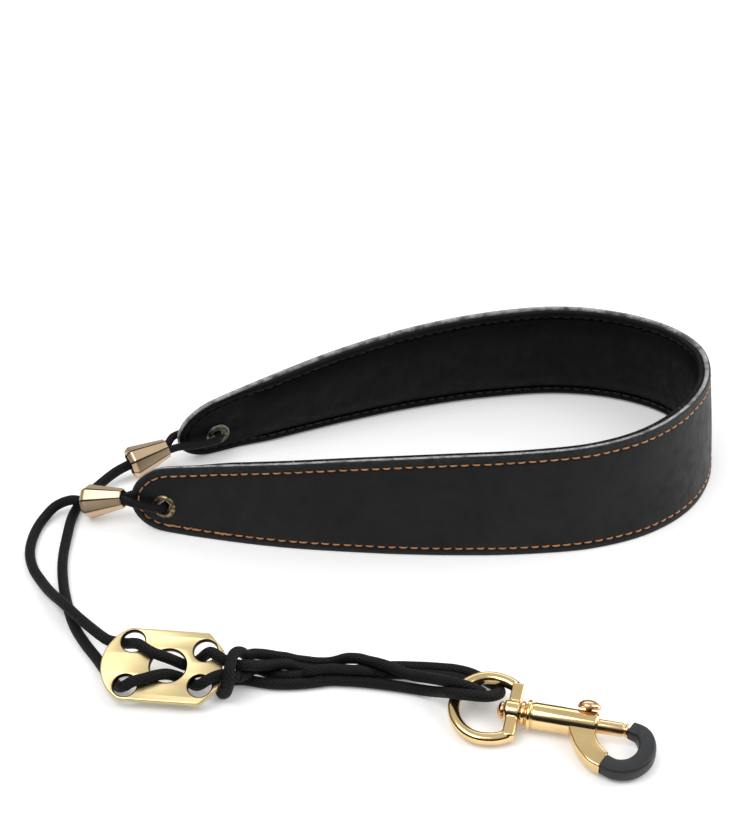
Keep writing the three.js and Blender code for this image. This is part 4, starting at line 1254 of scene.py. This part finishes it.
def eyelet_loop(side):
    """Cord from the cap's narrow mouth over the leather, through the eyelet and back on the other side."""
    sign = -1 if side == "front" else 1
    matrix = EYELETS[side]
    outward = matrix.col[2].to_3d()
    narrow, wide = (Vector(p) for p in CAPS[side])
    leave = (narrow - wide).normalized() * LOOP_MOUTH

    def strand(face, direction):
        start = narrow + leave + outward * direction * LOOP_SPREAD
        inside = start - leave * 8
        height = face + direction * (LOOP_RADIUS + LOOP_LIFT)
        tip = Vector((sign * (EYELET_AT[side] + LOOP_PAST), 0, height))
        lip = face - (0 if direction > 0 else WASHER_DEPTH)
        rest = [Vector((sign * x, 0, lip + direction * z)) for x, z in LOOP_SIDE]
        return [inside, start] + [matrix @ p for p in [tip] + rest]

    middle = matrix @ Vector((0, 0, -SEWN / 2))
    route = strand(0, 1) + [middle] + strand(-SEWN, -1)[::-1]
    line = spline(route, 120)
    loop = sweep(f"loop_{side}", line, LOOP_RADIUS, MATERIALS["cord"])
    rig.ride(loop, f"{side}_cap")
    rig.replaces(loop, f"eyelet_loop_{side}")
    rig.slot(loop, "cord")
    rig.cord(loop, exit=line[0], length=float(arc_lengths(line)[-1]), diameter=2 * LOOP_RADIUS,
            far_end="object", stiffness="limp", lay="taut", path=line)


def on_plate(points):
    matrix = place(PLATE_CENTRE, PLATE_YAW, PLATE_TILT)
    return [tuple(matrix @ Vector(p)) for p in points]


def whole_cord():
    """The one cord from cap to cap, as (name, points) in order along it."""
    mirrored = [(x, -y, z) for x, y, z in THREAD_ON]
    return [
        ("lead_front_upper", LEAD_FRONT[:LEAD_SPLIT + 1]),
        ("lead_front_lower", LEAD_FRONT[LEAD_SPLIT:]),
        ("thread_front", on_plate(THREAD_FROM["front"] + THREAD_ON)),
        ("run_far_low", RUNS["far_low"]),
        ("eye_turn_far", EYE_TURNS["far"][::-1]),
        ("run_near_low", RUNS["near_low"][::-1]),
        ("hitch", on_plate(HITCH)),
        ("run_far_top", RUNS["far_top"]),
        ("eye_turn_near", EYE_TURNS["near"]),
        ("run_near_top", RUNS["near_top"][::-1]),
        ("thread_back", on_plate(THREAD_FROM["back"] + mirrored)[::-1]),
        ("lead_back_lower", LEAD_BACK[LEAD_SPLIT:][::-1]),
        ("lead_back_upper", LEAD_BACK[:LEAD_SPLIT + 1][::-1]),
    ]


def cord_lines():
    """Each length's own part of one smooth line, so that neighbours meet without a step."""
    pieces = whole_cord()
    points, cuts = [], []
    for _, route in pieces:
        route = [np.array(p, float) for p in route]
        if points:
            points[-1] = (points[-1] + route[0]) / 2
            route = route[1:]
        points.extend(route)
        cuts.append(points[-1])
    line = spline(points, 8000)
    found = {}
    start = 0
    for (name, _), cut in zip(pieces, cuts):
        end = first_near(line, start, cut)
        found[name] = line[start:end + 1]
        start = end
    return found


def first_near(line, start, point):
    """Index of the first place after the start where the line comes closest to the point."""
    gap = np.linalg.norm(line[start:] - point, axis=1)
    first = int(np.argmax(gap < 0.0003))
    return start + first + int(np.argmin(gap[first:first + 8]))


CORD_BODIES = {
    "lead_front_upper": ("front_cap", "neck_band"), "lead_front_lower": ("neck_band", "adjuster"),
    "lead_back_upper": ("neck_band", "back_cap"), "lead_back_lower": ("adjuster", "neck_band"),
    "thread_front": ("adjuster",), "thread_back": ("adjuster",), "hitch": ("adjuster",),
    "run_far_low": ("adjuster", "cord_end"), "run_far_top": ("adjuster", "cord_end"),
    "run_near_low": ("cord_end", "adjuster"), "run_near_top": ("cord_end", "adjuster"),
    "eye_turn_far": ("cord_end",), "eye_turn_near": ("cord_end",),
}


def cords():
    for name, line in cord_lines().items():
        length = float(arc_lengths(line)[-1])
        line = evenly(line, max(12, int(length / 0.0011)))
        tube = sweep(f"cord_{name}", line, CORD_RADIUS, MATERIALS["cord"])
        bodies = CORD_BODIES[name]
        if len(bodies) == 1:
            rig.ride(tube, bodies[0])
        else:
            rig.blend(tube, *bodies, start=tuple(line[0]), end=tuple(line[-1]))
        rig.replaces(tube, name)
        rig.slot(tube, "cord")
        lay = "loose" if name.startswith(("lead", "run")) else "taut"
        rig.cord(tube, exit=line[0], length=length, diameter=2 * CORD_RADIUS, far_end="object",
                stiffness="limp", lay=lay, path=line)


# ---------------------------------------------------------------- adjuster plate

def plate_outline():
    corner_x, corner_y = PLATE_CHAMFER
    half = PLATE_HALF_WIDTH
    rise = PLATE_ARC_START - PLATE_LEFT
    radius = (half ** 2 + rise ** 2) / (2 * rise)
    centre = PLATE_LEFT + radius
    angle = math.atan2(half, PLATE_ARC_START - centre)
    outline = [
        (PLATE_RIGHT - corner_x, -half), (PLATE_RIGHT, corner_y - half), (PLATE_RIGHT, half - corner_y),
        (PLATE_RIGHT - corner_x, half),
    ]
    for k in range(41):
        a = angle + (2 * math.pi - 2 * angle) * k / 40
        outline.append((centre + radius * math.cos(a), radius * math.sin(a)))
    return outline


def softened(outline, reach, spacing=0.0002):
    """A closed outline with its corners rounded by averaging it over that distance."""
    closed = np.array(outline + outline[:1], float)
    points = evenly(closed, int(arc_lengths(closed)[-1] / spacing))[:-1]
    half = int(reach / spacing / 2)
    shifted = [np.roll(points, k, axis=0) for k in range(-half, half + 1)]
    return [tuple(p) for p in np.mean(shifted, axis=0)]


def flat_piece(name, outlines, thick, edge, matrix, material):
    """A flat piece with rounded edges from closed outlines, the first outside and the others its holes."""
    curve = bpy.data.curves.new(name, "CURVE")
    curve.dimensions = "2D"
    curve.fill_mode = "BOTH"
    curve.extrude = thick / 2 - edge
    curve.bevel_depth = edge
    curve.bevel_resolution = 3
    curve.offset = -edge
    for outline in outlines:
        path = curve.splines.new("POLY")
        path.points.add(len(outline) - 1)
        path.points.foreach_set("co", [c for x, y in outline for c in (x, y, 0, 1)])
        path.use_cyclic_u = True
    shape = bpy.data.objects.new(name, curve)
    bpy.context.collection.objects.link(shape)
    graph = bpy.context.evaluated_depsgraph_get()
    mesh = bpy.data.meshes.new_from_object(shape.evaluated_get(graph), depsgraph=graph)
    bpy.data.objects.remove(shape, do_unlink=True)
    mesh.transform(matrix)
    mesh.materials.clear()
    mesh.materials.append(material)
    obj = bpy.data.objects.new(name, mesh)
    bpy.context.collection.objects.link(obj)
    finish_mesh(obj, sharp=50)
    return obj


def circle(x, y, radius, steps=56):
    return [(x + radius * math.cos(2 * math.pi * k / steps), y - radius * math.sin(2 * math.pi * k / steps))
            for k in range(steps)]


def paint_hole_shade(plate, matrix):
    """Gives the holes' walls and rounded edges a dark metal that stands for painted shade and painted reflection."""
    plate.data.materials.append(MATERIALS["hole"])
    to_plate = matrix.inverted()
    for face in plate.data.polygons:
        at = to_plate @ face.center
        for x, y, radius in PLATE_HOLES:
            if math.hypot(at.x - x, at.y - y) < radius + HOLE_SHADE_RIM:
                face.material_index = 1


def adjuster_plate():
    outlines = [softened(plate_outline(), PLATE_CORNER)] + [circle(*hole) for hole in PLATE_HOLES]
    matrix = place(PLATE_CENTRE, PLATE_YAW, PLATE_TILT)
    plate = flat_piece("plate", outlines, PLATE_THICK, PLATE_ROUND, matrix, MATERIALS["plate"])
    paint_hole_shade(plate, matrix)
    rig.ride(plate, "adjuster")
    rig.replaces(plate, "adjuster_plate")
    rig.slot(plate, "plate_metal")


# ---------------------------------------------------------------- eye and hook

EYE = place(HOOK_ORIGIN, HOOK_YAW, EYE_ROLL)
HOOK = place(HOOK_ORIGIN, HOOK_YAW, HOOK_ROLL)
ALONG_X = Matrix.Rotation(math.radians(90), 4, "Y")     # turns a lathe's Z to the hook's X


def d_eye():
    half = [(x, y, 0) for x, y in EYE_BOW]
    route = half + [(-EYE_DEPTH, 0, 0)] + [(x, -y, z) for x, y, z in reversed(half)]
    bow = sweep("bow", spline(route, 90), EYE_WIRE, MATERIALS["hook"], sides=24, square=0.85)
    bar_line = [(EYE_BAR_AT, y, 0) for y in np.linspace(-EYE_BAR_REACH, EYE_BAR_REACH, 24)]
    bar = sweep("bar", bar_line, EYE_BAR_WIRE, MATERIALS["hook"], sides=24, square=0.45, round_ends=0.001)
    boss = lathe("boss", BOSS_PROFILE, MATERIALS["hook"], ALONG_X, segments=48)
    skin = joined("eye_cast", [bow, bar, boss], EYE_SKIN, 6, MATERIALS["hook"])
    skin.data.transform(EYE)
    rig.ride(skin, "eye")
    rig.replaces(skin, "d_eye")
    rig.slot(skin, "hook_metal")


def swivel_stud():
    stud = lathe("stud", STUD_PROFILE, MATERIALS["copper"], HOOK @ ALONG_X, segments=48)
    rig.ride(stud, "hook")
    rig.replaces(stud, "swivel_stud")
    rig.slot(stud, "copper_metal")


def hook_barrel():
    barrel = lathe("barrel", BARREL_PROFILE, MATERIALS["hook"], ALONG_X, segments=96, corner=0.0003)
    slot = slot_cutter()
    slot.data.transform(Matrix.Rotation(THUMB_ANGLE, 4, "X")
                        @ Matrix.Translation((THUMB_AT - THUMB_TRAVEL / 2, SLOT_HEIGHT, 0)))
    cut_with(barrel, slot)
    finish_mesh(barrel)
    barrel.data.transform(HOOK)
    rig.ride(barrel, "hook")
    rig.replaces(barrel, "hook_body")
    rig.slot(barrel, "hook_metal")
    inner = spline(ARM_OUTLINE[:ARM_INNER_COUNT], 24)
    outer = spline(ARM_OUTLINE[ARM_INNER_COUNT + 1:], 30)
    outline = [tuple(p) for p in inner] + [ARM_OUTLINE[ARM_INNER_COUNT]] + [tuple(p) for p in outer]
    blade = flat_piece("arm", [outline], ARM_THICK, ARM_ROUND, HOOK, MATERIALS["hook"])
    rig.ride(blade, "hook")
    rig.slot(blade, "hook_metal")


def slot_cutter():
    """A block with its upright corners cut off, in the shape of the slot that the thumb knob slides in."""
    x, y, z = (size / 2 for size in SLOT_SIZE)
    c = SLOT_CORNER
    section = [
        (x - c, z), (x, z - c), (x, c - z), (x - c, -z), (c - x, -z), (-x, c - z), (-x, z - c), (c - x, z),
    ]
    verts = [(a, side * y, b) for side in (-1, 1) for a, b in section]
    count = len(section)
    faces = [tuple(range(count)), tuple(range(2 * count - 1, count - 1, -1))]
    faces += [(k, (k + 1) % count, count + (k + 1) % count, count + k) for k in range(count)]
    return new_object("slot", verts, faces, [MATERIALS["hook"]])


def rubber_sleeve():
    route = spline([(x, y, 0) for x, y in ARM_CENTRE], 80)
    at = np.linspace(0, 1, len(route))
    radius = SLEEVE_RADIUS * (1 + 0.05 * np.sin(math.pi * at) - 0.08 * smoothstep(at, 0.8, 1.0))
    sleeve = sweep("sleeve", route, radius, MATERIALS["rubber"], sides=48, square=0.45, flat=0.92,
                   round_ends=0.0006)
    sleeve.data.transform(HOOK)
    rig.ride(sleeve, "hook")
    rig.replaces(sleeve, "rubber_sleeve")
    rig.slot(sleeve, "rubber")


def plunger():
    rod = lathe("plunger_rod", PLUNGER_PROFILE, MATERIALS["plunger"], HOOK @ ALONG_X, segments=56,
                corner=0.0002)
    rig.ride(rod, "thumb")
    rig.replaces(rod, "plunger")
    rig.slot(rod, "hook_metal")
    stem, foot = THUMB_STEM
    edge = THUMB_BASE + THUMB_RIM
    dome = [
        (0, foot), (stem, foot), (stem, THUMB_BASE), (THUMB_RADIUS - THUMB_RIM, THUMB_BASE),
        (THUMB_RADIUS, edge),
    ]
    for k in range(1, 9):
        a = math.pi / 2 * k / 8
        dome.append((THUMB_RADIUS * math.cos(a) if k < 8 else 0, edge + (THUMB_TOP - edge) * math.sin(a)))
    turn = Matrix.Rotation(THUMB_ANGLE - math.pi / 2, 4, "X")
    matrix = HOOK @ Matrix.Translation((THUMB_AT, 0, 0)) @ turn
    knob = lathe("thumb_button", dome, MATERIALS["copper"], matrix, segments=48, corner=0.0002)
    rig.ride(knob, "thumb")
    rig.replaces(knob, "thumb_knob")
    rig.slot(knob, "copper_metal")


def spring():
    steps = 16
    count = SPRING_TURNS * steps
    line = []
    for k in range(count + 1):
        angle = 2 * math.pi * k / steps
        x = SPRING_START + SPRING_LENGTH * k / count
        line.append((x, SPRING_RADIUS * math.cos(angle), SPRING_RADIUS * math.sin(angle)))
    coil = sweep("spring_coil", line, SPRING_WIRE, MATERIALS["spring"], sides=10)
    coil.data.transform(HOOK)
    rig.ride(coil, "hook")
    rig.replaces(coil, "plunger_spring")
    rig.slot(coil, "spring_steel")


# ---------------------------------------------------------------- camera, floor and light

def camera():
    data = bpy.data.cameras.new("camera")
    data.sensor_fit = "VERTICAL"
    data.sensor_height = CAMERA_SENSOR
    data.lens = CAMERA_LENS
    data.clip_start = 0.01
    obj = bpy.data.objects.new("camera", data)
    bpy.context.collection.objects.link(obj)
    obj.location = CAMERA_AT
    direction = Vector(CAMERA_LOOKS_AT) - Vector(CAMERA_AT)
    obj.rotation_euler = direction.to_track_quat("-Z", "Y").to_euler()
    bpy.context.scene.camera = obj


def floor():
    size = 3.0
    verts = [(-size, -size, 0), (size, -size, 0), (size, size, 0), (-size, size, 0)]
    obj = new_object("floor", verts, [(0, 1, 2, 3)], [floor_material()])
    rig.stage(obj)


def area_light(name, location, target, size, energy):
    data = bpy.data.lights.new(name, "AREA")
    data.shape = "RECTANGLE"
    data.size, data.size_y = size
    data.energy = energy
    obj = bpy.data.objects.new(name, data)
    bpy.context.collection.objects.link(obj)
    obj.location = location
    direction = Vector(target) - Vector(location)
    obj.rotation_euler = direction.to_track_quat("-Z", "Y").to_euler()


def world():
    """Bright overhead and behind, dark low down in front, so that polished metal has much to reflect."""
    sky = bpy.data.worlds.new("studio")
    bpy.context.scene.world = sky
    sky.use_nodes = True
    tree = sky.node_tree
    background = tree.nodes["Background"]
    coords = tree.nodes.new("ShaderNodeTexCoord")
    split = tree.nodes.new("ShaderNodeSeparateXYZ")
    behind = tree.nodes.new("ShaderNodeMath")
    behind.operation = "MULTIPLY_ADD"
    behind.inputs[1].default_value = SKY_BEHIND
    ramp = tree.nodes.new("ShaderNodeValToRGB")
    tree.links.new(coords.outputs["Generated"], split.inputs[0])
    tree.links.new(split.outputs["Y"], behind.inputs[0])
    tree.links.new(split.outputs["Z"], behind.inputs[2])
    tree.links.new(behind.outputs[0], ramp.inputs["Fac"])
    tree.links.new(ramp.outputs["Color"], background.inputs["Color"])
    elements = ramp.color_ramp.elements
    while len(elements) < len(SKY):
        elements.new(0.5)
    for element, (position, value) in zip(elements, SKY):
        element.position = position
        element.color = (value, value, value, 1)


def lights():
    for name, location, size, energy in LIGHTS:
        area_light(name, location, (0, 0, 0.02), size, energy)
    bpy.context.scene.view_settings.view_transform = "Standard"


# ---------------------------------------------------------------- scene

def build():
    camera()
    cords()
    eyelet_loop("front")
    eyelet_loop("back")
    outer_leather()
    padded_lining()
    stitches()
    edge_fuzz()
    for side in ("front", "back"):
        eyelet_ring(side)
        bell_cap(side)
    adjuster_plate()
    d_eye()
    swivel_stud()
    hook_barrel()
    rubber_sleeve()
    plunger()
    spring()
    floor()
    world()
    lights()


def write_sizes():
    visual = [list(corner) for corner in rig.bounds()]
    with open("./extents.json", "w") as out:
        json.dump({"cad": CAD_BOX, "visual": visual}, out)


build()
write_sizes()
